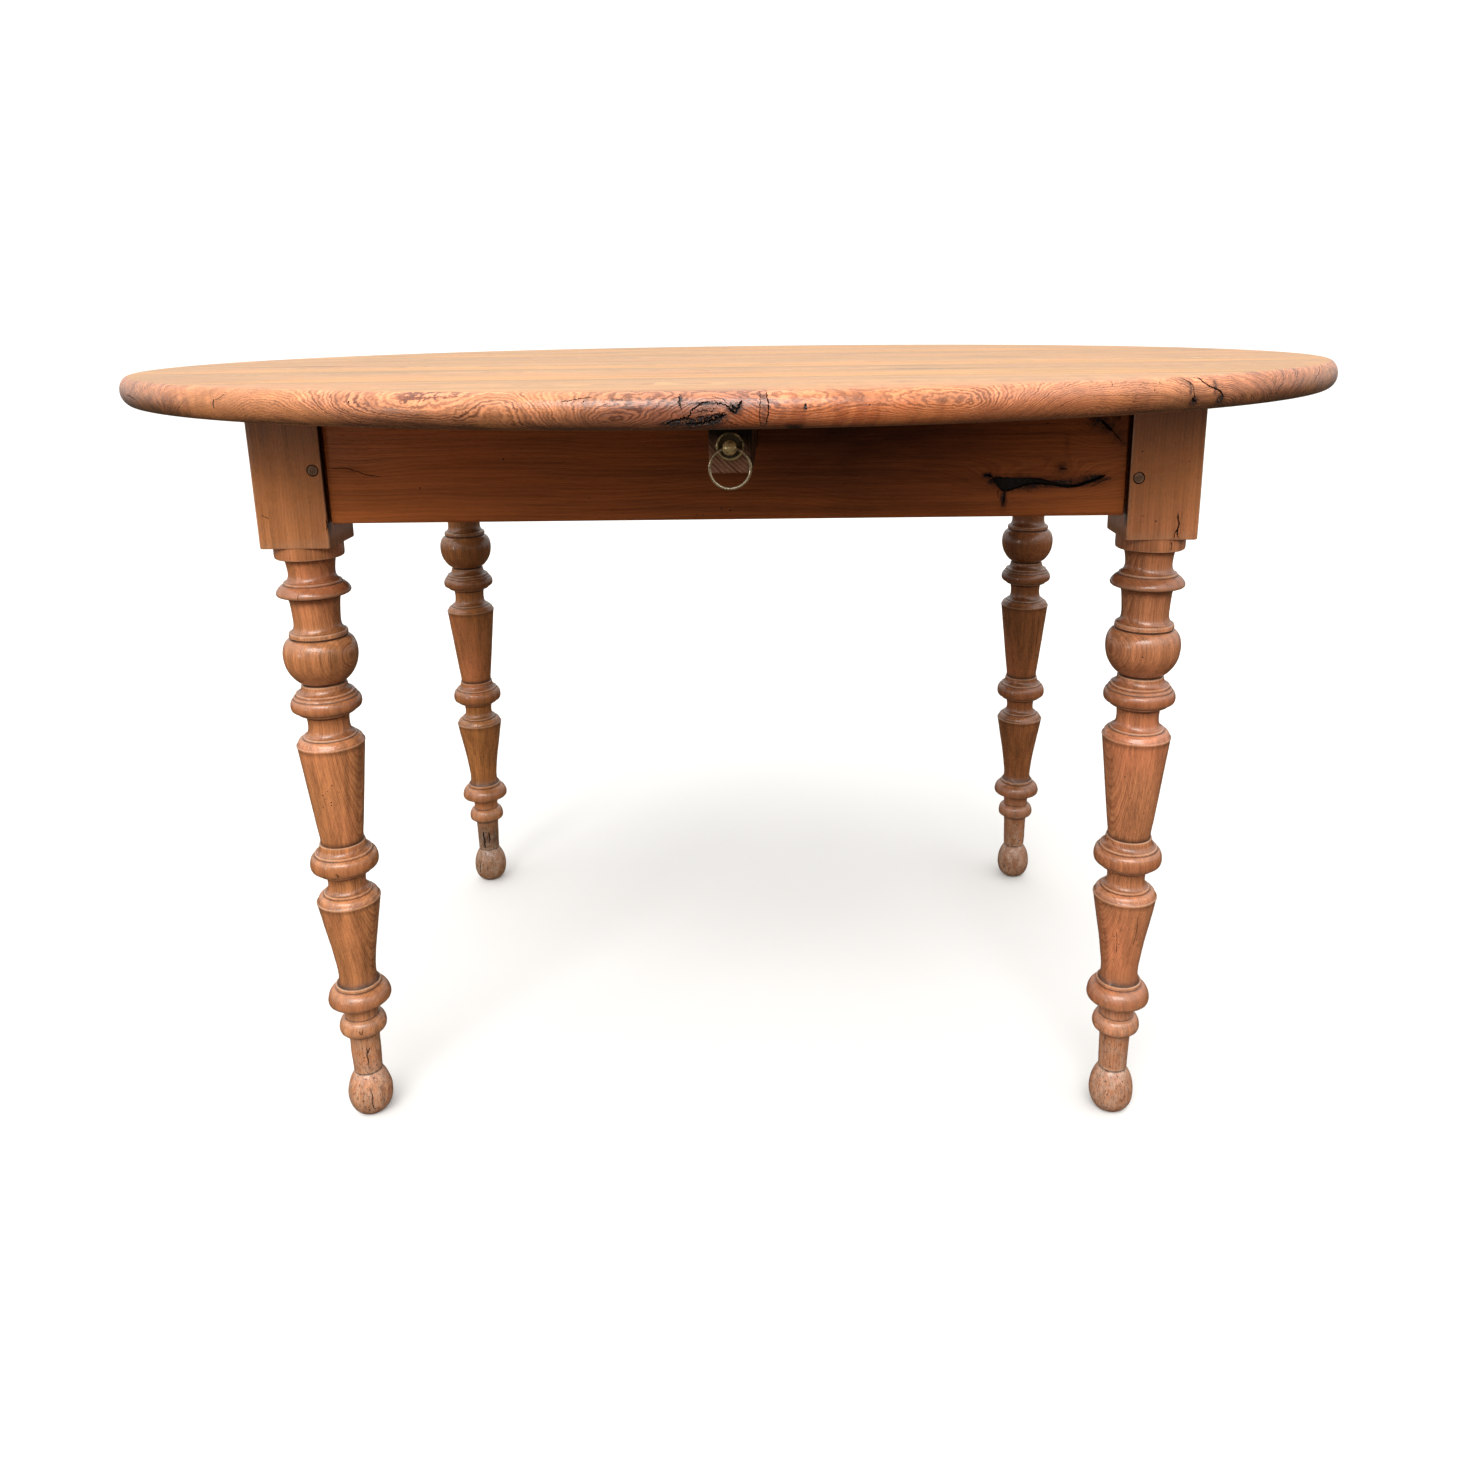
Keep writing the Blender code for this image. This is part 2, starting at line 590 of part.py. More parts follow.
def make_lopers():
    for side, sy in (("front", -1), ("rear", 1)):
        lo, hi = loper_span(side)
        mid = (lo + hi) / 2
        out_y, in_y = sy * LOPER_OUT, -sy * LOPER_IN
        slide = empty(f"loper_{side}_slide", (mid, out_y, PULL_Z))
        bm = add_box(bmesh.new(), (lo, min(out_y, in_y), LOPER_Z0), (hi, max(out_y, in_y), LOPER_Z1))
        ob = place(f"loper_{side}", bm, (mid, out_y, PULL_Z), APRON_WOOD, 0.5, parent=slide)
        bevel(ob, 0.0015)
        # stop peg, standing out on the side away from the other loper
        away = -1 if side == "rear" else 1
        face = hi if away > 0 else lo
        ys = -sy * STOP_Y
        a = (face + away * STOP_PROUD, ys, STOP_Z)
        b = (face - away * 0.022, ys, STOP_Z)
        place(f"loper_stop_{side}", add_rod(bmesh.new(), a, b, STOP_R, steps=12), b, PEG_WOOD, 0.6,
              parent=slide, smooth=40)
        cut = bmesh.new()
        p, q = run_past(a, b, 0.0, 0.0004)
        add_rod(cut, p, q, STOP_R + GAP, steps=12)
        r_in = (mid, out_y + sy * 0.002, PULL_Z)
        r_end = (mid, out_y - sy * (POST_IN + 0.0005), PULL_Z)
        add_rod(cut, r_in, r_end, POST_R + GAP, steps=12)
        boolean(ob, guide(f"holes_loper_{side}", cut), 'DIFFERENCE')
        make_pull(side, sy, mid, out_y, slide)


def turned_on_y(profile, steps, sy, at):
    """Turn (radius, distance out) points about an axis that runs out of a loper's end."""
    bm = lathe(profile, steps)
    rot = Vector((0, 0, 1)).rotation_difference(Vector((0, sy, 0))).to_matrix().to_4x4()
    bmesh.ops.transform(bm, matrix=Matrix.Translation(at) @ rot, verts=bm.verts[:])
    return bm


def make_pull(side, sy, x, y, slide):
    mm = 0.001
    at = (x, y, PULL_Z)
    # dished rose with a raised rim, pierced for the post
    hole = POST_R + GAP
    back, rim = GAP, ROSE_T
    rose = [(hole, 1.3 * mm)]
    for i in range(3):
        t = i / 2
        rose.append((hole + (ROSE_R * 0.80 - hole) * (0.35 + 0.65 * t), (1.0 + 0.8 * t * t) * mm))
    for i in range(1, 4):
        a = math.pi * i / 3
        rose.append((ROSE_R * 0.90 - ROSE_R * 0.10 * math.cos(a), 1.8 * mm + (rim - 1.8 * mm) * math.sin(a)))
    rose += [(ROSE_R, back), (hole, back), (hole, 1.3 * mm)]
    place(f"pull_rose_{side}", turned_on_y(rose, 16, sy, at), at, OLD_BRASS, 0.45, 0.9, parent=slide, smooth=40)
    # post: shank in the loper, neck, and a ball with a cross hole
    post = []
    for i in range(7):
        a = math.radians(90 - i * 150 / 6)
        post.append((BALL_R * math.cos(a) if i else 0.0, BALL_OUT + BALL_R * math.sin(a)))
    post += [(POST_R * 1.15, BALL_OUT - BALL_R - 0.4 * mm), (POST_R * 1.05, 1.8 * mm), (POST_R, 1.4 * mm),
             (POST_R, -POST_IN), (0.0, -POST_IN)]
    ob = place(f"pull_post_{side}", turned_on_y(post, 12, sy, at), at, OLD_BRASS, 0.35, 0.9,
               parent=slide, smooth=40)
    pivot = (x, y + sy * BALL_OUT, PULL_Z)
    boolean(ob, guide(f"eye_{side}", add_rod(bmesh.new(), (x - 0.02, pivot[1], PULL_Z),
                                              (x + 0.02, pivot[1], PULL_Z), EYE_R, steps=16)), 'DIFFERENCE')
    # wire ring hanging through the eye, its origin on the line it swings about
    swing = empty(f"pull_ring_{side}_swing", pivot, parent=slide)
    bm = bmesh.new()
    major, minor = 24, 6
    loops = []
    for i in range(major):
        a = 2 * math.pi * i / major
        c = Vector((x + RING_R * math.sin(a), pivot[1], PULL_Z - RING_R + RING_R * math.cos(a)))
        out = Vector((math.sin(a), 0, math.cos(a)))
        loops.append([bm.verts.new(c + out * (WIRE_R * math.cos(2 * math.pi * j / minor))
                                   + Vector((0, WIRE_R * math.sin(2 * math.pi * j / minor), 0)))
                      for j in range(minor)])
    for i in range(major):
        p, q = loops[i], loops[(i + 1) % major]
        for j in range(minor):
            bm.faces.new((p[j], p[(j + 1) % minor], q[(j + 1) % minor], q[j]))
    place(f"pull_ring_{side}", bm, pivot, OLD_BRASS, 0.35, 0.95, parent=swing, smooth=60)


def main():
    clear_scene()
    make_boards()
    make_battens()
    make_legs()
    make_pegs()
    make_aprons()
    make_rail()
    make_guides()
    make_buttons()
    make_screws()
    make_lopers()


main()
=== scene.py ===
"""Looks of the round extending table: waxed fruitwood boards, pegged frame, turned
legs and a brass ring pull, on a pale floor in soft light.

Lengths are metres, +Z is up, and the front of the table faces -Y.
"""

import math

import bmesh
import bpy
import numpy as np
from mathutils import Matrix, Vector


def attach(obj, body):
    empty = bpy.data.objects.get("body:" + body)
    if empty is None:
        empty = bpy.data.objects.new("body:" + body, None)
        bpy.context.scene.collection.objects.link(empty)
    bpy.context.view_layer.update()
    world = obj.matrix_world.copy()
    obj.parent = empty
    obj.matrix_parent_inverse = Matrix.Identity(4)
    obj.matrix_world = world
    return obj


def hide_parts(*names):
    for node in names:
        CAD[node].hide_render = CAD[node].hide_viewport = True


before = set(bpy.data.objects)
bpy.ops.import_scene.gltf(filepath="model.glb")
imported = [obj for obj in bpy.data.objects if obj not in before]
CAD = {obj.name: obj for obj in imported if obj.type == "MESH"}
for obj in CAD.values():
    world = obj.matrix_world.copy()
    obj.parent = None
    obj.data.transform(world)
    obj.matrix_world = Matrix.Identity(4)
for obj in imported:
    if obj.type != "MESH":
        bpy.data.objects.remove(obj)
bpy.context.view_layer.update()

# ---------------------------------------------------------------- dimensions
GAP = 0.0003
TOP_H, TOP_R, TOP_T, NOSE = 0.750, 0.597, 0.024, 0.009
UNDER = TOP_H - TOP_T
SEAMS = (-0.430, -0.232, -0.032, 0.166, 0.372)
LEG_X, LEG_Y, BLOCK, BLOCK_Z = 0.383, 0.2645, 0.063, 0.599
HALF = BLOCK / 2
FRAME_TOP = UNDER - GAP
APRON_T, APRON_Z, APRON_SET, SHOULDER = 0.024, 0.6205, 0.006, 0.0015
TENON_T, TENON_Z0, TENON_Z1, TENON_L = 0.011, 0.632, 0.712, 0.028
APRON_FY = LEG_Y + HALF - APRON_SET
APRON_SX = LEG_X + HALF - APRON_SET
TENON_Y = APRON_FY - APRON_T / 2
TENON_X = APRON_SX - APRON_T / 2
PEG_R, PEG_L, PEG_PROUD, PEG_IN = 0.0050, 0.034, 0.0006, 0.008
PEG_Z = {"fl": (0.6685, 0.655), "fr": (0.654, 0.667), "rl": (0.660, 0.650), "rr": (0.665, 0.658)}
LOPER_W, LOPER_H, LOPER_MID, LOPER_SEP = 0.031, 0.0397, -0.0025, 0.001
LOPER_OUT, LOPER_IN = 0.4815, 0.255
LOPER_Z1 = UNDER - 0.0008
LOPER_Z0 = LOPER_Z1 - LOPER_H
STOP_Y, STOP_R, STOP_Z, STOP_PROUD = 0.160, 0.004, 0.6965, 0.013
RAIL_W, RAIL_H, RAIL_TENON = 0.045, 0.025, 0.012
BUTTON_W, BUTTON_H, TONGUE_H, TONGUE_L = 0.038, 0.020, 0.008, 0.008
BUTTONS = {"front_left": (-0.270, -1), "front_right": (0.270, -1),
           "rear_left": (-0.270, 1), "rear_right": (0.270, 1)}
SIDE_BUTTON_Y = {"left": 0.110, "right": -0.110}
BATTEN_X, BATTEN_H, BATTEN_SCREWS = 0.190, 0.020, (-0.130, 0.066, 0.215)
SCREW_R, SCREW_HEAD_R, SCREW_HEAD_H, SCREW_BITE = 0.0020, 0.0042, 0.0026, 0.014
PULL_Z, ROSE_R, ROSE_T, POST_R, POST_IN = 0.7047, 0.0103, 0.0026, 0.0021, 0.018
BALL_R, BALL_OUT, EYE_R, RING_R, WIRE_R = 0.0053, 0.0110, 0.00235, 0.01435, 0.0011
CORNERS = {"fl": (-1, -1), "fr": (1, -1), "rl": (-1, 1), "rr": (1, 1)}
LEG_NAME = {"fl": "leg_front_left", "fr": "leg_front_right", "rl": "leg_rear_left", "rr": "leg_rear_right"}


# ------------------------------------------------------------ camera and light
def make_camera():
    """Eye height a hand's breadth above the top, a little over a metre from its middle."""
    eye = Vector((0.049217, -1.325238, 0.792174))
    yaw, pitch, roll = 0.0154673, 0.2627628, -0.0131944
    size, focal, mid_x, mid_y = 1457.0, 1182.8565, 764.761, 636.069
    f = Vector((-math.sin(yaw) * math.cos(pitch), math.cos(yaw) * math.cos(pitch), -math.sin(pitch)))
    r = Vector((math.cos(yaw), math.sin(yaw), 0.0))
    u = r.cross(f)
    r, u = math.cos(roll) * r + math.sin(roll) * u, -math.sin(roll) * r + math.cos(roll) * u
    data = bpy.data.cameras.new("camera")
    data.sensor_width = 36.0
    data.lens = focal / size * 36.0
    data.shift_x = (size / 2 - mid_x) / size
    data.shift_y = (mid_y - size / 2) / size
    data.clip_start, data.clip_end = 0.02, 100.0
    cam = bpy.data.objects.new("camera", data)
    bpy.context.scene.collection.objects.link(cam)
    cam.matrix_world = Matrix(((r.x, u.x, -f.x, eye.x), (r.y, u.y, -f.y, eye.y),
                               (r.z, u.z, -f.z, eye.z), (0, 0, 0, 1)))
    bpy.context.scene.camera = cam


def make_light():
    """A pale sky that is dim near the ground in front, over ground that sends little light
    back up, so that the overhang shades the frame."""
    scene = bpy.context.scene
    scene.view_settings.view_transform = "Standard"
    world = bpy.data.worlds.new("sky")
    scene.world = world
    world.use_nodes = True
    nt = world.node_tree
    nt.nodes.clear()

    def node(kind, *feeds, **props):
        n = nt.nodes.new(kind)
        for k, v in props.items():
            setattr(n, k, v)
        for i, v in feeds:
            if isinstance(v, bpy.types.NodeSocket):
                nt.links.new(v, n.inputs[i])
            else:
                n.inputs[i].default_value = v
        return n.outputs[0]

    def ramp(value, stops):
        n = nt.nodes.new("ShaderNodeValToRGB")
        nt.links.new(value, n.inputs[0])
        el = n.color_ramp.elements
        while len(el) < len(stops):
            el.new(0.5)
        for e, (pos, v) in zip(el, stops):
            e.position = pos
            r, g, b = v if isinstance(v, tuple) else (v, v * 0.99, v * 0.97)
            e.color = (r / 2, g / 2, b / 2, 1.0)
        return n.outputs[0]
    where = nt.nodes.new("ShaderNodeTexCoord").outputs["Generated"]
    split = nt.nodes.new("ShaderNodeSeparateXYZ")
    nt.links.new(where, split.inputs[0])
    x, y, z = split.outputs
    height = node("ShaderNodeMath", (0, z), (1, 0.5), operation="MULTIPLY")
    height = node("ShaderNodeMath", (0, height), (1, 0.5), operation="ADD")
    ground, low = (0.095, 0.066, 0.043), (SKY_LOW, SKY_LOW * 0.84, SKY_LOW * 0.66)
    behind = ramp(height, ((0.0, ground), (0.40, ground), (0.485, 0.40), (0.505, 0.62), (0.60, 0.70), (0.80, 1.10), (1.0, SKY_TOP)))
    before = ramp(height, ((0.0, ground), (0.42, ground), (0.50, low), (0.57, low), (0.67, SKY_MID), (0.86, SKY_MID), (1.0, SKY_TOP)))
    side = node("ShaderNodeMapRange", (0, y), (1, 0.16), (2, -0.42), (3, 0.0), (4, 1.0), interpolation_type="SMOOTHSTEP")
    tint = nt.nodes.new("ShaderNodeMix")
    tint.data_type = "RGBA"
    nt.links.new(side, tint.inputs[0])
    nt.links.new(behind, tint.inputs[6])
    nt.links.new(before, tint.inputs[7])
    back = nt.nodes.new("ShaderNodeBackground")
    nt.links.new(tint.outputs[2], back.inputs[0])
    lean = node("ShaderNodeMapRange", (0, x), (1, -0.8), (2, 0.8), (3, 2.02), (4, 1.94), interpolation_type="SMOOTHSTEP")
    nt.links.new(lean, back.inputs[1])
    out = nt.nodes.new("ShaderNodeOutputWorld")
    nt.links.new(back.outputs[0], out.inputs[0])

    def panel(name, at, to, wide, high, power, tint=(1.0, 1.0, 1.0)):
        light = bpy.data.lights.new(name, "AREA")
        light.shape = "RECTANGLE"
        light.size, light.size_y = wide, high
        light.energy = power
        light.color = tint
        ob = bpy.data.objects.new(name, light)
        scene.collection.objects.link(ob)
        ob.location = at
        ob.rotation_euler = (Vector(to) - Vector(at)).to_track_quat("-Z", "Y").to_euler()
        ob.visible_camera = False
        return ob
    panel("overhead_panel", (-0.3, 0.3, 3.4), (0.0, 0.0, 0.7), 3.2, 2.6, 22.0, (1.0, 0.985, 0.96))
    panel("front_panel", (-0.4, -3.0, 2.7), (0.0, -0.2, 0.40), 2.8, 1.5, 106.0, (1.0, 0.985, 0.96))
    panel("low_panel", (-2.7, -2.3, 0.72), (0.0, -0.4, 0.70), 0.40, 0.40, 6.0, (1.0, 0.97, 0.92))


SKY_LOW, SKY_MID, SKY_TOP = 0.40, 1.84, 1.60


def make_floor():
    bm = bmesh.new()
    rings = (0.5, 1.0, 2.0, 4.0, 9.0, 24.0, 80.0, 300.0)
    centre = bm.verts.new((0, 0, 0))
    last = None
    for r in rings:
        loop = [bm.verts.new((r * math.cos(2 * math.pi * i / 64), r * math.sin(2 * math.pi * i / 64), 0.0))
                for i in range(64)]
        for i in range(64):
            j = (i + 1) % 64
            if last is None:
                bm.faces.new((centre, loop[i], loop[j]))
            else:
                bm.faces.new((last[i], loop[i], loop[j], last[j]))
        last = loop
    mesh = bpy.data.meshes.new("floor")
    bm.to_mesh(mesh)
    bm.free()
    ob = bpy.data.objects.new("floor", mesh)
    bpy.context.scene.collection.objects.link(ob)
    ob.visible_diffuse = False
    ob.visible_glossy = False
    # a plain white backdrop all round, far off
    bm = bmesh.new()
    bmesh.ops.create_cone(bm, cap_ends=True, segments=48, radius1=60.0, radius2=60.0, depth=80.0, matrix=Matrix.Translation((0, 0, 20.0)))
    wall = bpy.data.meshes.new("backdrop")
    bm.to_mesh(wall)
    bm.free()
    drop = bpy.data.objects.new("backdrop", wall)
    bpy.context.scene.collection.objects.link(drop)
    drop.visible_diffuse = drop.visible_glossy = drop.visible_shadow = drop.visible_transmission = drop.visible_volume_scatter = False
    g = Graph("backdrop_white")
    e = g.node("ShaderNodeEmission")
    g.feed(e.inputs[0], g.mix(g.noise(g.coord(), 0.05, 1), (1.0, 1.0, 1.0, 1), (0.985, 0.985, 0.985, 1)))
    e.inputs[1].default_value = 1.1
    o = g.node("ShaderNodeOutputMaterial")
    g.nt.links.new(e.outputs[0], o.inputs[0])
    wall.materials.append(g.mat)
    g = Graph("floor_pale")
    n = g.noise(g.coord(), 1.7, 3)
    tone = g.mix(n, (0.84, 0.84, 0.83, 1), (0.88, 0.88, 0.87, 1))
    g.surface(tone, 0.9, spec=0.1)
    o = next(n for n in g.nt.nodes if n.type == "OUTPUT_MATERIAL")
    top = o.inputs[0].links[0].from_socket
    both = g.node("ShaderNodeMixShader")
    clear = g.node("ShaderNodeBsdfTransparent")
    g.nt.links.new(g.node("ShaderNodeNewGeometry").outputs["Backfacing"], both.inputs[0])
    g.nt.links.new(top, both.inputs[1])
    g.nt.links.new(clear.outputs[0], both.inputs[2])
    g.nt.links.new(both.outputs[0], o.inputs[0])
    mesh.materials.append(g.mat)


# ------------------------------------------------------------- node shorthand
class Sock:
    """A node's output that adds and multiplies like a number."""

    def __init__(self, g, s):
        self.g, self.s = g, s

    def __add__(self, o):
        return self.g.math("ADD", self, o)

    __radd__ = __add__

    def __sub__(self, o):
        return self.g.math("SUBTRACT", self, o)

    def __rsub__(self, o):
        return self.g.math("SUBTRACT", o, self)

    def __mul__(self, o):
        return self.g.math("MULTIPLY", self, o)

    __rmul__ = __mul__

    def __truediv__(self, o):
        return self.g.math("DIVIDE", self, o)


class Graph:
    """One material's nodes."""

    def __init__(self, name):
        self.mat = bpy.data.materials.new(name)
        self.mat.use_nodes = True
        self.nt = self.mat.node_tree
        self.nt.nodes.clear()
        self._coord = None

    def node(self, kind, **props):
        n = self.nt.nodes.new(kind)
        for k, v in props.items():
            setattr(n, k, v)
        return n

    def feed(self, socket, value):
        if isinstance(value, Sock):
            self.nt.links.new(value.s, socket)
        elif value is not None:
            socket.default_value = value

    def coord(self):
        if self._coord is None:
            self._coord = Sock(self, self.node("ShaderNodeTexCoord").outputs["Object"])
        return self._coord

    def math(self, op, a, b=None, clamp=False):
        n = self.node("ShaderNodeMath", operation=op, use_clamp=clamp)
        self.feed(n.inputs[0], a)
        self.feed(n.inputs[1], b)
        return Sock(self, n.outputs[0])

    def split(self, v):
        n = self.node("ShaderNodeSeparateXYZ")
        self.feed(n.inputs[0], v)
        return [Sock(self, o) for o in n.outputs]

    def join(self, x, y, z):
        n = self.node("ShaderNodeCombineXYZ")
        for i, v in enumerate((x, y, z)):
            self.feed(n.inputs[i], v)
        return Sock(self, n.outputs[0])

    def place(self, v, scale, shift):
        """v times scale plus shift, axis by axis."""
        n = self.node("ShaderNodeVectorMath", operation="MULTIPLY_ADD")
        self.feed(n.inputs[0], v)
        n.inputs[1].default_value = scale
        n.inputs[2].default_value = shift
        return Sock(self, n.outputs[0])

    def noise(self, v, scale, detail=2.0, rough=0.5, colour=False):
        n = self.node("ShaderNodeTexNoise")
        self.feed(n.inputs["Vector"], v)
        n.inputs["Scale"].default_value = scale
        n.inputs["Detail"].default_value = detail
        n.inputs["Roughness"].default_value = rough
        return Sock(self, n.outputs["Color" if colour else 0])

    def white(self, w):
        n = self.node("ShaderNodeTexWhiteNoise", noise_dimensions="1D")
        self.feed(n.inputs["W"], w)
        return Sock(self, n.outputs["Value"])

    def cells(self, v, scale, feature="F1", out="Distance"):
        n = self.node("ShaderNodeTexVoronoi", feature=feature)
        self.feed(n.inputs["Vector"], v)
        n.inputs["Scale"].default_value = scale
        return Sock(self, n.outputs[out])

    def span(self, v, a, b, c=0.0, d=1.0, smooth=True):
        n = self.node("ShaderNodeMapRange", interpolation_type="SMOOTHSTEP" if smooth else "LINEAR")
        self.feed(n.inputs["Value"], v)
        for key, x in (("From Min", a), ("From Max", b), ("To Min", c), ("To Max", d)):
            n.inputs[key].default_value = x
        return Sock(self, n.outputs[0])

    def mix(self, fac, a, b, blend="MIX"):
        n = self.node("ShaderNodeMix", data_type="RGBA", blend_type=blend)
        self.feed(n.inputs[0], fac)
        self.feed(n.inputs[6], a)
        self.feed(n.inputs[7], b)
        return Sock(self, n.outputs[2])

    def scaled(self, colour, k):
        """A colour times a number."""
        n = self.node("ShaderNodeVectorMath", operation="SCALE")
        self.feed(n.inputs[0], colour)
        self.feed(n.inputs["Scale"], k)
        return Sock(self, n.outputs[0])

    def attr(self, name):
        n = self.node("ShaderNodeAttribute", attribute_name=name)
        return Sock(self, n.outputs["Fac"])

    def near(self, v, at, stretch):
        """Bell-shaped bump round a point, with a width for each axis."""
        n = self.node("ShaderNodeVectorMath", operation="MULTIPLY_ADD")
        self.feed(n.inputs[0], v)
        n.inputs[1].default_value = tuple(1.0 / s for s in stretch)
        n.inputs[2].default_value = tuple(-a / s for a, s in zip(at, stretch))
        d = self.node("ShaderNodeVectorMath", operation="DOT_PRODUCT")
        self.nt.links.new(n.outputs[0], d.inputs[0])
        self.nt.links.new(n.outputs[0], d.inputs[1])
        return self.math("POWER", 2.718, Sock(self, d.outputs["Value"]) * -1.0)

    def surface(self, colour, rough, spec=0.5, metal=None, height=None, depth=0.0003, strength=0.5, coat=0.0, coat_rough=0.2):
        out = self.node("ShaderNodeOutputMaterial")
        p = self.node("ShaderNodeBsdfPrincipled")
        self.feed(p.inputs["Base Color"], colour)
        self.feed(p.inputs["Roughness"], rough)
        p.inputs["Specular IOR Level"].default_value = spec
        if metal is not None:
            self.feed(p.inputs["Metallic"], metal)
        if coat:
            p.inputs["Coat Weight"].default_value = coat
            p.inputs["Coat Roughness"].default_value = coat_rough
        if height is not None:
            b = self.node("ShaderNodeBump")
            b.inputs["Strength"].default_value = strength
            b.inputs["Distance"].default_value = depth
            self.feed(b.inputs["Height"], height)
            self.nt.links.new(b.outputs[0], p.inputs["Normal"])
        self.nt.links.new(p.outputs[0], out.inputs[0])
        return self.mat


# ------------------------------------------------------------------ materials
ORDER = {"X": (0, 1, 2), "Y": (1, 0, 2), "Z": (2, 0, 1)}


def wood(name, axis, pith, ring, early, late, seed, contrast=0.8, warp=0.006, reach=0.16, lean=0.0,
         wander=0.0011, streak=0.30, fibre=0.20, blotch=0.30, blush=(0.50, 0.16, 0.075), knots=(), dark_spots_and_shade=(),
         dirt=(0.060, 0.026, 0.012), worn=(0.66, 0.40, 0.245), rough=(0.36, 0.52), spec=0.45, relief=0.55,
         scuff=None, dust=0.0, holes=0.0, lines=0.0, pore=0.16, crust=(), bands=0.0, band_size=0.024, edge=None, painted_shading=(), coat=0.0, coat_rough=0.16,
         stains_and_painted_light=(), spot_tone=(0.030, 0.013, 0.007), flame=()):
    """Timber cut from one log: growth rings round a pith that runs along one axis, so
    long grain and end grain both come out of the same solid figure."""
    g = Graph(name)
    p = g.coord()
    xyz = g.split(p)
    a, b, c = ORDER[axis]
    along, u, v = xyz[a], xyz[b], xyz[c]
    off = (seed * 3.17, seed * 1.31, seed * 2.23)

    def stretched(long, wide):
        k = [0.0, 0.0, 0.0]
        k[a], k[b], k[c] = 1.0 / long, 1.0 / wide, 1.0 / wide
        return g.place(p, tuple(k), off)
    slow = g.split(g.noise(stretched(reach, 0.085), 1.0, 1.5, colour=True))
    ripple = g.noise(stretched(0.034, 0.011), 1.0, 2.0)
    du = u + (slow[0] - 0.5) * (2 * warp) - pith[0]
    dv = v + (slow[1] - 0.5) * (2 * warp) - pith[1]
    r = g.math("SQRT", du * du + dv * dv) + (ripple - 0.5) * (2 * wander) + (slow[2] - 0.5) * (1.4 * warp)
    if lean:
        r = r + along * lean
    for at, stretch, push in knots:
        r = r + g.near(p, at, stretch) * push
    phase = r / ring
    t = g.math("FRACT", phase)
    each = g.white(g.math("FLOOR", phase))
    dark = g.span(t, 0.22, 0.86) * g.span(t, 0.90, 1.0, 1.0, 0.0) * (each * 0.6 + 0.4)
    if lines:
        t2 = g.math("FRACT", phase * 2.63)
        dark = dark * (1.0 - lines) + g.span(t2, 0.30, 0.78) * g.span(t2, 0.86, 1.0, 1.0, 0.0) * lines

    fine = g.noise(stretched(0.060, 0.0010), 1.0, 2.5, 0.6)
    broad = g.noise(stretched(0.22, 0.0065), 1.0, 2.0)
    patch = g.noise(g.place(p, (1, 1, 1), off), 9.0, 2.0)
    pores = g.span(g.noise(stretched(0.0065, 0.00038), 1.0, 1.0), 0.63, 0.74)

    col = g.mix(dark * contrast, (*early, 1), (*late, 1))
    nose = None
    if edge is not None:
        # the rounded rim shows its rings close together and is redder; its colour is painted darker towards its
        # underside and lighter near the top, painted shade and painted highlight
        r0, r1, rim_early, rim_late, rim_ring = edge
        nose = g.span(g.math("SQRT", xyz[0] * xyz[0] + xyz[1] * xyz[1]), r0, r1)
        curl = g.noise(stretched(0.016, 0.0070), 1.0, 3.0, 0.6)
        crimp = g.noise(stretched(0.0042, 0.0026), 1.0, 2.0, 0.6)
        turns = (r + (curl - 0.5) * 0.0036 + (crimp - 0.5) * 0.0021) / rim_ring
        t3 = g.math("FRACT", turns)
        close = g.span(t3, 0.16, 0.62) * g.span(t3, 0.74, 1.0, 1.0, 0.0) * (g.white(g.math("FLOOR", turns)) * 0.5 + 0.5)
        close = g.math("MULTIPLY", close, g.noise(g.place(p, (1, 1, 1), off), 38.0, 2.0) * 1.4 + 0.35, clamp=True)
        rim = g.mix(close * 0.95, (*rim_early, 1), (*rim_late, 1))
        wide = g.math("FRACT", turns * 0.23)
        rim = g.mix(g.span(wide, 0.30, 0.84) * g.span(wide, 0.90, 1.0, 1.0, 0.0) * 0.50, rim, g.scaled(rim, 0.40))
        # painted shade darkens the rim towards its underside, and a painted highlight lightens it near the top
        rim = g.scaled(rim, g.span(xyz[2], TOP_H - 0.022, TOP_H - 0.004, 0.40, 1.28))
        col = g.mix(nose, col, rim)
    col = g.mix(g.span(patch, 0.46, 0.78) * 0.55, col, (*blush, 1))
    k = (broad - 0.5) * (2 * streak) + (fine - 0.5) * (2 * fibre) + (patch - 0.5) * (2 * blotch) + 1.0
    if bands:
        band = g.noise(stretched(0.42, band_size), 1.0, 4.0, 0.62)
        line = g.span(g.noise(stretched(0.34, band_size * 0.42), 1.0, 2.0), 0.58, 0.68)
        k = k + (band - 0.5) * (1.3 * bands)
        col = g.mix(g.span(band, 0.44, 0.62) * (0.8 * bands), col, (*blush, 1))
        col = g.mix(line * (0.9 * bands), col, g.scaled(col, 0.42))
    # painted light and shade: patches where the wood's colour is made brighter or darker
    for at, stretch, gain in painted_shading:
        k = k + g.near(p, at, stretch) * gain
    for at, stretch, gain in flame:
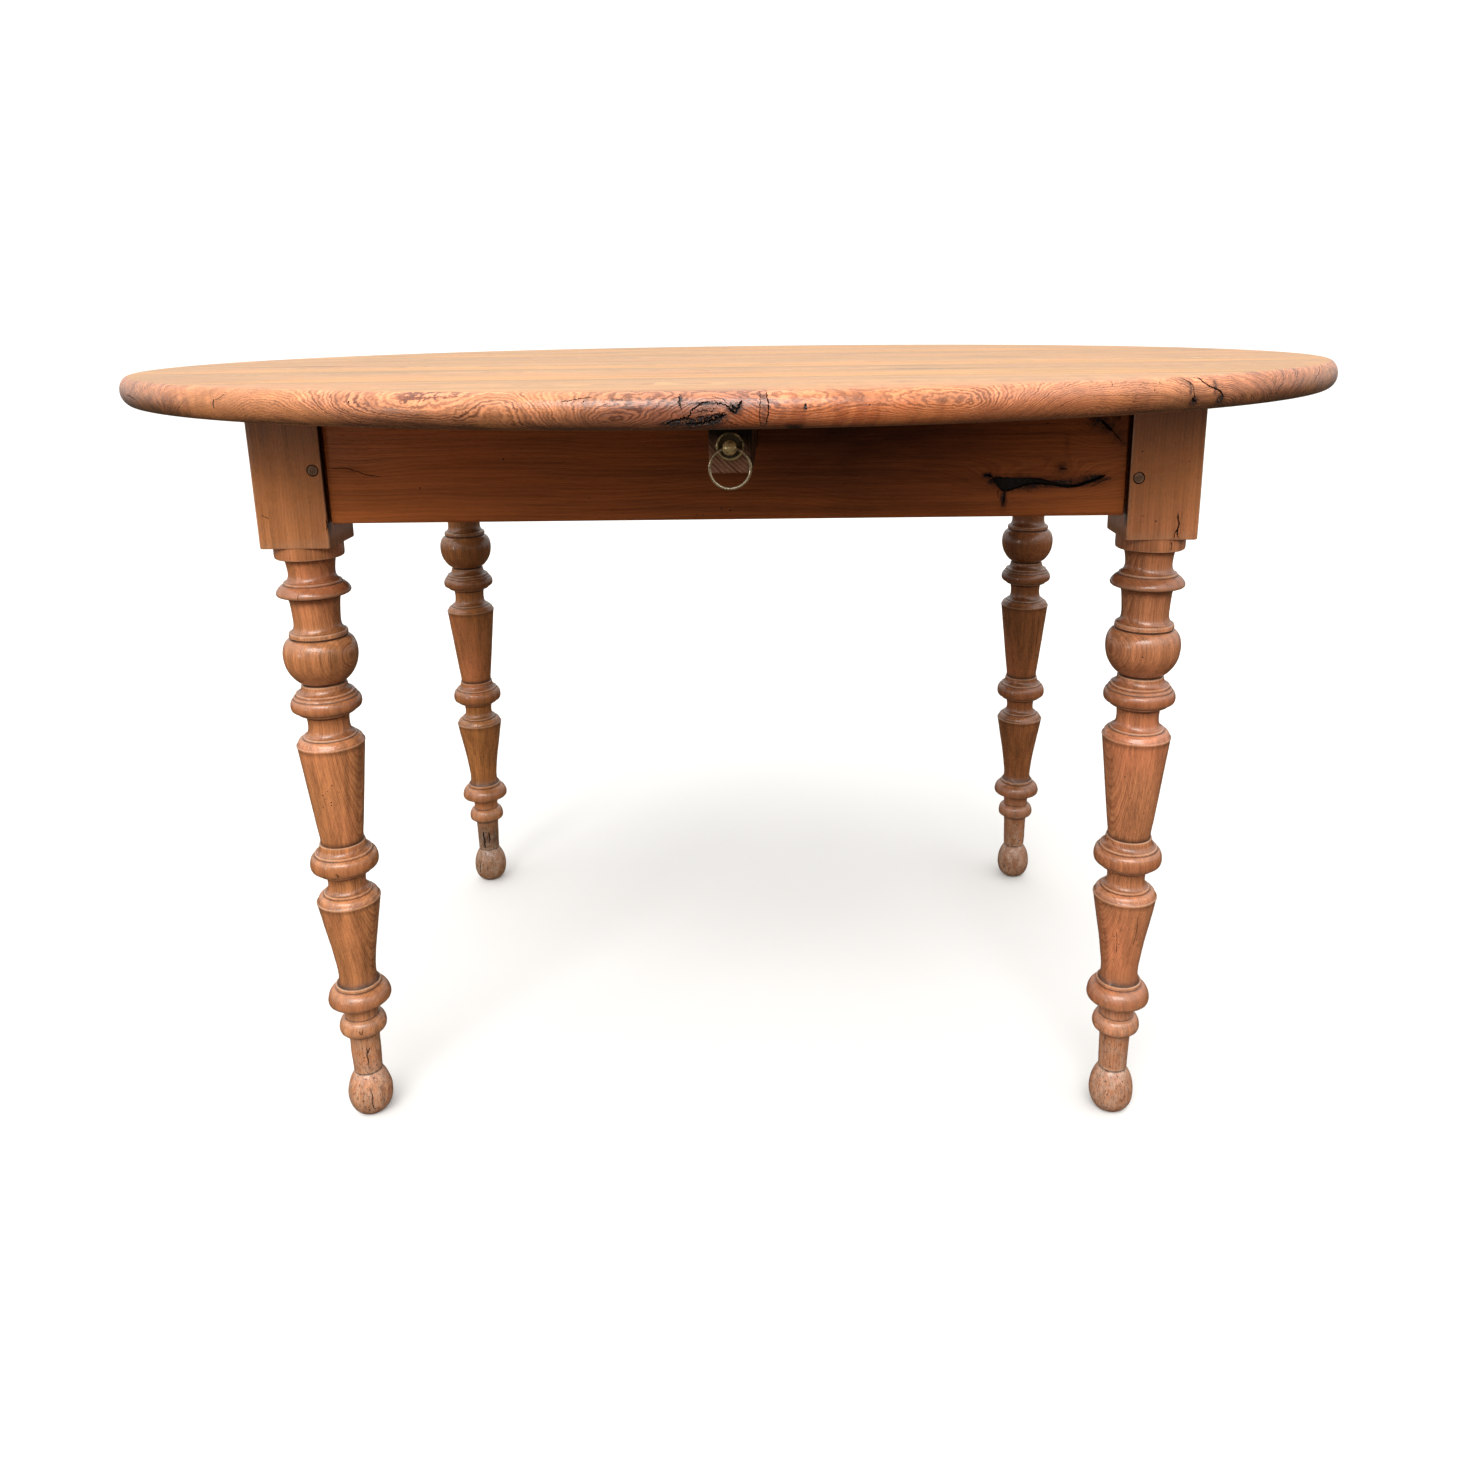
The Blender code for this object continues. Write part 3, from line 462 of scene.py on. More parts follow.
        # curly figure: bands across the grain
        bow = g.noise(g.place(p, (1 / 0.030, 1 / 0.040, 1 / 0.012), off), 1.0, 2.0)
        rise = xyz[2] - 0.738
        bent = g.join(xyz[0] + rise * rise * 34.0 + (bow - 0.5) * 0.009, xyz[1], xyz[2])
        cross = g.noise(g.place(bent, (1 / 0.0078, 1 / 0.060, 1 / 0.060), off), 1.0, 1.4, 0.5)
        here = g.near(p, at, stretch)
        k = k + here * (g.span(cross, 0.38, 0.62) - 0.5) * (1.6 * gain)
        col = g.mix(here * g.span(cross, 0.38, 0.52, 1.0, 0.0) * (1.3 * gain), col, (0.190, 0.058, 0.036, 1))
    col = g.scaled(col, k - pores * pore)
    # dark marks, and also painted shade where a spot stands in for it, as on the loper ends and the middle of the front
    # apron
    for at, stretch, amount in dark_spots_and_shade:
        spot = g.near(p, at, stretch)
        col = g.mix(g.math("MULTIPLY", spot * amount, ripple * 0.8 + 0.6, clamp=True), col, (*spot_tone, 1))
    # colour patches: stains, and also painted light where a patch stands in for it, as the sheen on the rim and the
    # brighter leg blocks
    for at, stretch, amount, shade_of in stains_and_painted_light:
        under = (*shade_of, 1) if nose is None else g.mix(close * 0.80, (*shade_of, 1), tuple(c * 0.30 for c in shade_of) + (1,))
        col = g.mix(g.math("MULTIPLY", g.near(p, at, stretch) * amount, smear_low(g, p, off), clamp=True), col, under)

    black = None
    if crust:
        lumps = g.noise(g.place(p, (1, 1, 1), off), 420.0, 4.0, 0.72)
        for at, stretch, amount in crust:
            m = g.near(p, at, stretch) * amount
            black = m if black is None else g.math("MAXIMUM", black, m)
        ragged = (lumps - 0.5) * 1.5 + 0.5 + black
        halo = g.span(black + lumps, 0.62, 1.02)
        black = g.span(ragged, 1.02, 1.12)
        col = g.mix(halo * 0.78, col, (0.080, 0.024, 0.012, 1))
        bits = g.noise(g.place(p, (1, 1, 1), (3.1, 7.7, 1.9)), 760.0, 2.0, 0.6)
        crumbs = g.mix(g.span(bits, 0.55, 0.65) * 0.8, (0.009, 0.006, 0.006, 1), (0.300, 0.120, 0.052, 1))
        crumbs = g.mix(g.span(bits, 0.44, 0.36) * 0.6, crumbs, (0.100, 0.092, 0.110, 1))
        col = g.mix(black, col, crumbs)
    grime_and_shade, wear = g.attr("grime_and_shade"), g.attr("wear")
    smear = g.noise(g.place(p, (1, 1, 1), off), 70.0, 3.0, 0.65)
    # darkened where the grime_and_shade attribute is set: dirt and painted shade in the coves, under the discs and at
    # the top of the leg blocks
    col = g.mix(g.math("MULTIPLY", grime_and_shade, smear * 1.1 + 0.45, clamp=True), col, (*dirt, 1))
    col = g.mix(g.math("MULTIPLY", wear, smear * 1.2 + 0.15, clamp=True), col, (*worn, 1))
    # near-black painted shade in the corners where the aprons meet the leg blocks
    col = g.mix(g.attr("painted_gap_shade"), col, (0.008, 0.005, 0.004, 1))
    gloss = g.span(smear, 0.2, 0.8, rough[0], rough[1], smooth=False) + pores * 0.10 + grime_and_shade * 0.12
    if nose is not None:
        gloss = gloss - nose * 0.07
    height = fine * 0.5 + dark * 0.35 - pores * 0.7 + smear * 0.25
    if black is not None:
        height = height - black * (lumps * 3.0 + 1.0)
    if scuff is not None:
        # floor wear: paler, dusty wood with many small dark nicks, less of both higher up
        low = g.span(xyz[2], scuff, 0.015, 0.0, 1.0)
        bruise = g.span(g.noise(g.place(p, (1, 1, 0.45), off), 420.0, 3.0, 0.7), 0.52, 0.64)
        pale = g.span(g.noise(g.place(p, (1, 1, 0.7), (off[1], off[2], off[0])), 150.0, 3.0, 0.65), 0.36, 0.66)
        nick = g.span(g.noise(g.place(p, (1, 1, 0.30), (off[2], off[0], off[1])), 620.0, 2.0, 0.6), 0.60, 0.68)
        col = g.mix(low * (pale * 0.40 + 0.12), col, (0.56, 0.415, 0.318, 1))
        col = g.mix(low * bruise * 0.66, col, (0.185, 0.095, 0.060, 1))
        col = g.mix(low * nick * 0.92, col, (0.060, 0.030, 0.018, 1))
        gloss = gloss + low * 0.14
        height = height - low * (bruise * 0.5 + nick * 1.2)
    if holes:
        dots = g.cells(g.place(p, (1, 1, 1), off), 1.0 / 0.016)
        seen = g.span(dots, 0.055, 0.035) * g.span(g.noise(g.place(p, (1, 1, 1), off), 21.0, 1.0), 0.60 - holes, 0.64 - holes)
        col = g.mix(seen, col, (0.020, 0.010, 0.006, 1))
        height = height - seen * 2.0
    if dust:
        film = g.noise(g.place(p, (1, 1, 1), off), 26.0, 4.0, 0.7)
        col = g.mix(g.span(film, 0.35, 0.75) * dust, col, (0.33, 0.27, 0.20, 1))
        gloss = gloss + 0.15
    return g.surface(col, gloss, spec=spec, height=height, depth=0.00035, strength=relief, coat=coat, coat_rough=coat_rough)


def smear_low(g, p, off):
    return g.noise(g.place(p, (1, 1, 1), off), 120.0, 3.0, 0.65) * 1.3 + 0.35


def old_brass(name, shine, seed, bright=(0.60, 0.46, 0.235), metallic=(0.45, 0.85)):
    """Handled brass: bright where fingers rub it, brown and greenish in the hollows."""
    g = Graph(name)
    p = g.place(g.coord(), (1, 1, 1), (seed, seed * 0.7, -seed))
    big = g.noise(p, 260.0, 3.0, 0.65)
    tiny = g.noise(p, 1500.0, 2.0)
    rubbed = g.span(big + (tiny - 0.5) * 0.5 + g.attr("wear") * 0.5 - g.attr("grime_and_shade") * 0.6, 0.62 - shine, 0.86 - shine)
    film = g.mix(g.span(tiny, 0.35, 0.7), (0.055, 0.040, 0.018, 1), (0.105, 0.100, 0.060, 1))
    col = g.mix(rubbed, film, (*bright, 1))
    col = g.mix(g.span(big, 0.60, 0.80) * 0.35, col, (0.13, 0.16, 0.105, 1))
    gloss = g.span(rubbed + (tiny - 0.5) * 0.4, 0.0, 1.0, 0.56, 0.24, smooth=False)
    metal = g.span(rubbed, 0.0, 0.8, *metallic)
    return g.surface(col, gloss, spec=0.5, metal=metal, height=big * 0.6 + tiny * 0.4, depth=0.00012, strength=0.6)


def old_iron(name):
    g = Graph(name)
    p = g.coord()
    rust = g.span(g.noise(p, 700.0, 3.0, 0.7), 0.45, 0.7)
    tiny = g.noise(p, 2600.0, 2.0)
    col = g.mix(rust, (0.085, 0.080, 0.076, 1), (0.115, 0.052, 0.026, 1))
    return g.surface(col, g.span(rust + (tiny - 0.5) * 0.4, 0, 1, 0.42, 0.85, smooth=False), metal=g.span(rust, 0, 1, 0.9, 0.25),
                     height=tiny + rust * 0.5, depth=0.0001, strength=0.6)


def bark(name, base, edge, crumbs=0.0):
    """Old bark, resin and dirt in the bottom of cracks and pockets."""
    g = Graph(name)
    p = g.coord()
    lump = g.noise(p, 420.0, 3.0, 0.7)
    tiny = g.noise(p, 1700.0, 2.0, 0.6)
    col = g.mix(g.span(lump, 0.42, 0.72), (*base, 1), (*edge, 1))
    col = g.scaled(col, tiny * 0.9 + 0.5)
    if crumbs:
        bits = g.noise(g.place(p, (1, 1, 1), (3.1, 7.7, 1.9)), 760.0, 2.0, 0.6)
        col = g.mix(g.span(bits, 0.56, 0.66) * crumbs, col, (0.250, 0.098, 0.046, 1))
        col = g.mix(g.span(bits, 0.44, 0.36) * crumbs * 0.7, col, (0.090, 0.085, 0.105, 1))
    return g.surface(col, g.span(lump, 0.3, 0.7, 0.24, 0.70, smooth=False), spec=0.4, height=lump + tiny * 0.5, depth=0.0018,
                     strength=0.8)


# -------------------------------------------------------------- small numerics
def hashed(ix, iy, iz, seed):
    h = (ix.astype(np.uint64) * np.uint64(374761393) + iy.astype(np.uint64) * np.uint64(668265263)
         + iz.astype(np.uint64) * np.uint64(2246822519) + np.uint64(seed * 3266489917 % (1 << 32))) & np.uint64(0xFFFFFFFF)
    h = ((h ^ (h >> np.uint64(15))) * np.uint64(2246822519)) & np.uint64(0xFFFFFFFF)
    h = ((h ^ (h >> np.uint64(13))) * np.uint64(3266489917)) & np.uint64(0xFFFFFFFF)
    return (h ^ (h >> np.uint64(16))).astype(np.float64) / 4294967295.0


def bumps(points, size, seed=1):
    """Smooth seeded noise from 0 to 1 at points (n, 3), with lumps about size across."""
    q = np.asarray(points, float) / size + 1000.0
    i = np.floor(q).astype(np.int64)
    f = q - i
    f = f * f * (3 - 2 * f)
    total = 0.0
    for dx in (0, 1):
        for dy in (0, 1):
            for dz in (0, 1):
                w = ((f[:, 0] if dx else 1 - f[:, 0]) * (f[:, 1] if dy else 1 - f[:, 1])
                     * (f[:, 2] if dz else 1 - f[:, 2]))
                total = total + w * hashed(i[:, 0] + dx, i[:, 1] + dy, i[:, 2] + dz, seed)
    return total


def step(x, a, b):
    t = np.clip((np.asarray(x, float) - a) / (b - a), 0, 1)
    return t * t * (3 - 2 * t)


def through(points, gap):
    """Smooth curve through points, with samples about gap apart."""
    p = np.asarray(points, float)
    if len(p) == 2:
        n = max(1, int(round(np.linalg.norm(p[1] - p[0]) / gap)))
        return p[0] + (p[1] - p[0]) * np.linspace(0, 1, n + 1)[:, None]
    q = np.vstack([2 * p[0] - p[1], p, 2 * p[-1] - p[-2]])
    out = []
    for k in range(1, len(q) - 2):
        p0, p1, p2, p3 = q[k - 1:k + 3]
        t0 = 0.0
        t1 = t0 + np.linalg.norm(p1 - p0) ** 0.5
        t2 = t1 + np.linalg.norm(p2 - p1) ** 0.5
        t3 = t2 + np.linalg.norm(p3 - p2) ** 0.5
        t = np.linspace(t1, t2, 25)[:, None]
        a1 = (t1 - t) / (t1 - t0) * p0 + (t - t0) / (t1 - t0) * p1
        a2 = (t2 - t) / (t2 - t1) * p1 + (t - t1) / (t2 - t1) * p2
        a3 = (t3 - t) / (t3 - t2) * p2 + (t - t2) / (t3 - t2) * p3
        b1 = (t2 - t) / (t2 - t0) * a1 + (t - t0) / (t2 - t0) * a2
        b2 = (t3 - t) / (t3 - t1) * a2 + (t - t1) / (t3 - t1) * a3
        c = (t2 - t) / (t2 - t1) * b1 + (t - t1) / (t2 - t1) * b2
        out.append(c if k == 1 else c[1:])
    c = np.vstack(out)
    d = np.concatenate([[0], np.cumsum(np.linalg.norm(np.diff(c, axis=0), axis=1))])
    n = max(2, int(round(d[-1] / gap)))
    s = np.linspace(0, d[-1], n + 1)
    return np.stack([np.interp(s, d, c[:, j]) for j in range(c.shape[1])], 1)


# --------------------------------------------------------------- mesh helpers
def solid(name, verts, faces, mat, smooth=None):
    mesh = bpy.data.meshes.new(name)
    mesh.from_pydata([tuple(v) for v in verts], [], [tuple(f) for f in faces])
    mesh.update()
    ob = bpy.data.objects.new(name, mesh)
    bpy.context.scene.collection.objects.link(ob)
    if mat is not None:
        mesh.materials.append(mat)
    outward(mesh)
    if smooth is not None:
        shade(ob, smooth)
    return ob


def outward(mesh):
    bm = bmesh.new()
    bm.from_mesh(mesh)
    bmesh.ops.recalc_face_normals(bm, faces=bm.faces[:])
    bm.to_mesh(mesh)
    bm.free()


def from_bmesh(name, bm, mat, smooth=None):
    bmesh.ops.recalc_face_normals(bm, faces=bm.faces[:])
    mesh = bpy.data.meshes.new(name)
    bm.to_mesh(mesh)
    bm.free()
    ob = bpy.data.objects.new(name, mesh)
    bpy.context.scene.collection.objects.link(ob)
    if mat is not None:
        mesh.materials.append(mat)
    if smooth is not None:
        shade(ob, smooth)
    return ob


def shade(ob, angle):
    ob.data.shade_smooth()
    ob.data.set_sharp_from_angle(angle=math.radians(angle))


def store(ob, name, values):
    at = ob.data.attributes.new(name, "FLOAT", "POINT")
    at.data.foreach_set("value", np.asarray(values, np.float32))


def merged(shapes):
    """One object from several, with their materials."""
    bm, mats = bmesh.new(), []
    for ob in shapes:
        start = len(bm.faces)
        bm.from_mesh(ob.data)
        mat = ob.data.materials[0] if ob.data.materials else None
        if mat is not None and mat not in mats:
            mats.append(mat)
        bm.faces.ensure_lookup_table()
        for f in bm.faces[start:]:
            f.material_index = mats.index(mat) if mat is not None else 0
    mesh = bpy.data.meshes.new("shapes")
    bm.to_mesh(mesh)
    bm.free()
    for m in mats:
        mesh.materials.append(m)
    out = bpy.data.objects.new("shapes", mesh)
    bpy.context.scene.collection.objects.link(out)
    return out


def apart(shapes, margin=0.0003):
    """Shapes in groups whose boxes do not touch."""
    groups = []
    for ob in shapes:
        v = np.empty(len(ob.data.vertices) * 3)
        ob.data.vertices.foreach_get("co", v)
        v = v.reshape(-1, 3)
        lo, hi = v.min(0) - margin, v.max(0) + margin
        for g in groups:
            if all(np.any(lo > h) or np.any(hi < l) for _, l, h in g):
                g.append((ob, lo, hi))
                break
        else:
            groups.append([(ob, lo, hi)])
    return [[ob for ob, _, _ in g] for g in groups]


def volume(mesh):
    bm = bmesh.new()
    bm.from_mesh(mesh)
    v = bm.calc_volume(signed=True)
    bm.free()
    return v


def carve(ob, shapes, operation="DIFFERENCE", smooth=None):
    """Cut shapes out of a piece, or join them to it, and drop the shapes."""
    def attempt(cutter, overlap):
        m = ob.modifiers.new("carve", "BOOLEAN")
        m.operation, m.solver, m.use_self, m.material_mode, m.object = operation, "EXACT", overlap, "TRANSFER", cutter
        dg = bpy.context.evaluated_depsgraph_get()
        mesh = bpy.data.meshes.new_from_object(ob.evaluated_get(dg), preserve_all_data_layers=True, depsgraph=dg)
        ob.modifiers.clear()
        share = volume(mesh) / before
        good = 0.55 < share <= 1.0 + 1e-9 if operation == "DIFFERENCE" else 0.999 < share < 1.8
        if not good:
            bpy.data.meshes.remove(mesh)
            return False
        old, ob.data = ob.data, mesh
        mesh.name = ob.name
        bpy.data.meshes.remove(old)
        return True
    groups = apart(shapes) if operation == "DIFFERENCE" else [list(shapes)]
    while groups:
        group = groups.pop(0)
        before = volume(ob.data)
        cutter = merged(group) if len(group) > 1 else group[0]
        if not attempt(cutter, False):
            if len(group) > 1:
                groups = [[c] for c in group] + groups
            elif not attempt(cutter, True):
                print("left uncut:", ob.name, cutter.name)
        if len(group) > 1:
            bpy.data.objects.remove(cutter)
    for c in shapes:
        data = c.data
        bpy.data.objects.remove(c)
        bpy.data.meshes.remove(data)
    if smooth is not None:
        shade(ob, smooth)
    return ob


def add_box(bm, lo, hi):
    lo, hi = Vector(lo), Vector(hi)
    mid, size = (lo + hi) / 2, hi - lo
    bmesh.ops.create_cube(bm, size=1.0, matrix=Matrix.Translation(mid)
                          @ Matrix.Diagonal((abs(size.x), abs(size.y), abs(size.z), 1.0)))
    return bm


def add_rod(bm, a, b, r, steps=24):
    a, b = Vector(a), Vector(b)
    d = b - a
    rot = Vector((0, 0, 1)).rotation_difference(d.normalized()).to_matrix().to_4x4()
    bmesh.ops.create_cone(bm, cap_ends=True, segments=steps, radius1=r, radius2=r, depth=d.length,
                          matrix=Matrix.Translation((a + b) / 2) @ rot)
    return bm


def soft_box(bm, lo, hi, ease, segments=3):
    add_box(bm, lo, hi)
    bmesh.ops.bevel(bm, geom=bm.edges[:], offset=ease, segments=segments, profile=0.5, affect="EDGES")
    return bm


def turned(profile, steps, mat, name, smooth=35, at=(0, 0, 0), out=(0, 0, 1)):
    """Turn (radius, distance) points, tip first, about an axis that points out from at."""
    prof = [tuple(q) for q in profile]
    verts, faces, rows = [], [], []
    for r, d in prof:
        if r < 1e-7:
            rows.append([len(verts)])
            verts.append((0.0, 0.0, d))
        else:
            rows.append(list(range(len(verts), len(verts) + steps)))
            verts += [(r * math.cos(2 * math.pi * i / steps), r * math.sin(2 * math.pi * i / steps), d)
                      for i in range(steps)]
    for p, q in zip(rows, rows[1:]):
        for i in range(steps):
            j = (i + 1) % steps
            if len(p) == 1 and len(q) > 1:
                faces.append((p[0], q[i], q[j]))
            elif len(q) == 1 and len(p) > 1:
                faces.append((p[i], q[0], p[j]))
            elif len(p) > 1:
                faces.append((p[i], q[i], q[j], p[j]))
    rot = Vector((0, 0, 1)).rotation_difference(Vector(out).normalized()).to_matrix()
    verts = [rot @ Vector(v) + Vector(at) for v in verts]
    return solid(name, verts, faces, mat, smooth)


def crack(points, normals, width, depth, seed, mat, wander=0.0002, gap=0.0008, ends=(0.2, 0.2)):
    """A jagged split that follows points on a surface: the shape to cut away."""
    rng = np.random.default_rng(seed)
    both = through(np.hstack([np.asarray(points, float), np.asarray(normals, float) * 0.0005]), gap)
    p, n = both[:, :3], both[:, 3:]
    n /= np.linalg.norm(n, axis=1)[:, None]
    t = np.gradient(p, axis=0)
    t /= np.linalg.norm(t, axis=1)[:, None]
    s = np.cross(t, n)
    k = len(p)
    u = np.linspace(0, 1, k)
    p = p + s * (rng.uniform(-1, 1, k) * wander)[:, None]
    taper = np.clip(np.minimum(u / 0.18 + ends[0], (1 - u) / 0.18 + ends[1]), 0.12, 1)
    w = width * taper * rng.uniform(0.65, 1.3, k)
    d = depth * np.clip(taper, 0.35, 1) * rng.uniform(0.8, 1.15, k)
    lift = 0.0012
    rows = np.stack([p + n * lift - s * w[:, None] * 0.62, p + n * lift + s * w[:, None] * 0.62,
                     p - n * (0.45 * d)[:, None] + s * w[:, None] * 0.40,
                     p - n * d[:, None] + s * w[:, None] * 0.10,
                     p - n * d[:, None] - s * w[:, None] * 0.10,
                     p - n * (0.45 * d)[:, None] - s * w[:, None] * 0.40], 1)
    m = rows.shape[1]
    verts = rows.reshape(-1, 3)
    faces = [tuple(range(m)), tuple((k - 1) * m + j for j in range(m))]
    for i in range(k - 1):
        for j in range(m):
            a, b = i * m + j, i * m + (j + 1) % m
            faces.append((a, b, b + m, a + m))
    return solid("split", verts, faces, mat)


def pocket(outline, place, depth, seed, mat, gap=0.0011):
    """A ragged hollow with a lumpy bottom. place(u, v, d) gives the point d below the face."""
    rng = np.random.default_rng(seed)
    loop = np.asarray(list(outline) + [outline[0]], float)
    edge = []
    for a, b in zip(loop, loop[1:]):
        n = max(1, int(round(np.linalg.norm(b - a) / gap)))
        edge += [a + (b - a) * i / n for i in range(n)]
    edge = np.array(edge)
    k = len(edge)
    edge = edge + rng.uniform(-1, 1, (k, 2)) * 0.00028
    # the way in from the edge: towards the mean of the outline's near points
    inn = np.zeros_like(edge)
    for i in range(k):
        d = np.linalg.norm(edge - edge[i], axis=1)
        inn[i] = (edge * np.exp(-(d / 0.006) ** 2)[:, None]).sum(0) / np.exp(-(d / 0.006) ** 2).sum() - edge[i]
    rows = [(0.0, -0.0015), (0.0, 0.0), (0.30, 0.45 * depth), (0.62, depth)]
    verts, faces = [], []
    for share, dep in rows:
        rough = rng.uniform(0.7, 1.2, k) if dep > 0 else np.ones(k)
        verts += [place(*(edge[i] + inn[i] * share), dep * rough[i]) for i in range(k)]
    for j in range(len(rows) - 1):
        for i in range(k):
            a, b = j * k + i, j * k + (i + 1) % k
            faces.append((a, b, b + k, a + k))
    faces.append(tuple(range(k)))
    faces.append(tuple((len(rows) - 1) * k + i for i in range(k)))
    return solid("hollow", verts, faces, mat)


def hole(at, n, r, depth, mat, lean=(0, 0, 0)):
    bm = bmesh.new()
    at, n = Vector(at), Vector(n).normalized()
    add_rod(bm, at + n * 0.002, at - n * depth + Vector(lean), r, 9)
    return from_bmesh("flight_hole", bm, mat)


def finish_piece(ob, body, slot, *nodes):
    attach(ob, body)
    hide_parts(*nodes)
    return ob


# ----------------------------------------------------------------- the finish
EARLY_TOP, LATE_TOP = (0.590, 0.308, 0.102), (0.265, 0.108, 0.030)
EARLY_RIM, LATE_RIM = (0.635, 0.246, 0.114), (0.112, 0.031, 0.016)
EARLY_LEG, LATE_LEG = (0.540, 0.226, 0.088), (0.255, 0.082, 0.027)
# the apron colours are darker and redder than the legs': the apron's own tone and painted shade for the overhang of the
# top
EARLY_APRON, LATE_APRON = (0.440, 0.132, 0.034), (0.250, 0.060, 0.014)
EARLY_IN, LATE_IN = (0.400, 0.235, 0.118), (0.275, 0.145, 0.066)
BLACK = bark("crack_dirt", (0.007, 0.005, 0.004), (0.026, 0.014, 0.009), 0.75)
BARK = bark("bark_pocket", (0.003, 0.002, 0.002), (0.012, 0.007, 0.005))


# -------------------------------------------------------------------- the top
def rim_at(angle, z, sink=0.0):
    """Point and outward normal on the bullnose, at an angle in degrees and a height."""
    mid, half = TOP_H - TOP_T / 2, TOP_T / 2
    s = max(-0.999, min(0.999, (z - mid) / half))
    bulge = math.sqrt(1 - s * s)
    r = TOP_R - NOSE + NOSE * bulge
    a = math.radians(angle)
    n = Vector((bulge / NOSE * math.cos(a), bulge / NOSE * math.sin(a), s / half)).normalized()
    p = Vector((r * math.cos(a), r * math.sin(a), z)) - n * sink
    return p, n


def rim_line(marks):
    """Points and normals for marks given as (x in mm near the front, z in mm) or (angle, z in mm)."""
    pts, nor = [], []
    for kind, q, z in marks:
        angle = -90 + math.degrees(math.asin(q / 1000 / 0.5965)) if kind == "x" else q
        p, n = rim_at(angle, z / 1000)
        pts.append(p)
        nor.append(n)
    return pts, nor


def rim_wave(angle):
    """Small unevenness of a hand-cut rim, in metres."""
    a = np.asarray(angle)
    return (0.00028 * np.sin(7 * a + 0.6) + 0.00022 * np.sin(13 * a + 2.1) + 0.00014 * np.sin(31 * a + 4.0)
            + 0.00009 * np.sin(67 * a + 1.0))


def board(i, mat):
    limits = (-1.0,) + SEAMS + (1.0,)
    y0, y1 = limits[i] + GAP / 2, limits[i + 1] - GAP / 2
    half, steps, turns = TOP_T / 2, 22, 720
    prof = [(0.0, TOP_H)]
    for k in range(steps + 1):
        a = math.pi * (0.5 - k / steps)
        prof.append((TOP_R - NOSE + NOSE * math.cos(a), TOP_H - half + half * math.sin(a)))
    prof.append((0.0, UNDER))
    bm = bmesh.new()
    rows = []
    for r, z in prof:
        if r == 0.0:
            rows.append([bm.verts.new((0, 0, z))])
        else:
            rows.append([])
            for k in range(turns):
                a = 2 * math.pi * k / turns
                q = r + rim_wave(a) * (r - TOP_R + NOSE) / NOSE
                rows[-1].append(bm.verts.new((q * math.cos(a), q * math.sin(a), z)))
    for p, q in zip(rows, rows[1:]):
        for k in range(turns):
            j = (k + 1) % turns
            if len(p) == 1:
                bm.faces.new((p[0], q[k], q[j]))
            elif len(q) == 1:
                bm.faces.new((p[k], q[0], p[j]))
            else:
                bm.faces.new((p[k], q[k], q[j], p[j]))
    for y, keep in ((y0, 1), (y1, -1)):
        if abs(y) > TOP_R:
            continue
        bmesh.ops.bisect_plane(bm, geom=bm.verts[:] + bm.edges[:] + bm.faces[:], dist=1e-7, plane_co=(0, y, 0),
                               plane_no=(0, keep, 0), clear_inner=True)
        bmesh.ops.contextual_create(bm, geom=[e for e in bm.edges if e.is_boundary])
    bmesh.ops.dissolve_limit(bm, angle_limit=math.radians(0.02), verts=bm.verts[:], edges=bm.edges[:])
    bmesh.ops.recalc_face_normals(bm, faces=bm.faces[:])
    arris = []
    for e in bm.edges:
        for y in (y0, y1):
            if all(abs(v.co.y - y) < 1e-6 for v in e.verts) and len(e.link_faces) == 2:
                arris.append(e)
    bmesh.ops.bevel(bm, geom=arris, offset=0.00042, segments=2, profile=0.5, affect="EDGES")
    return from_bmesh(f"visual_top_board_{i + 1}", bm, mat, 32)


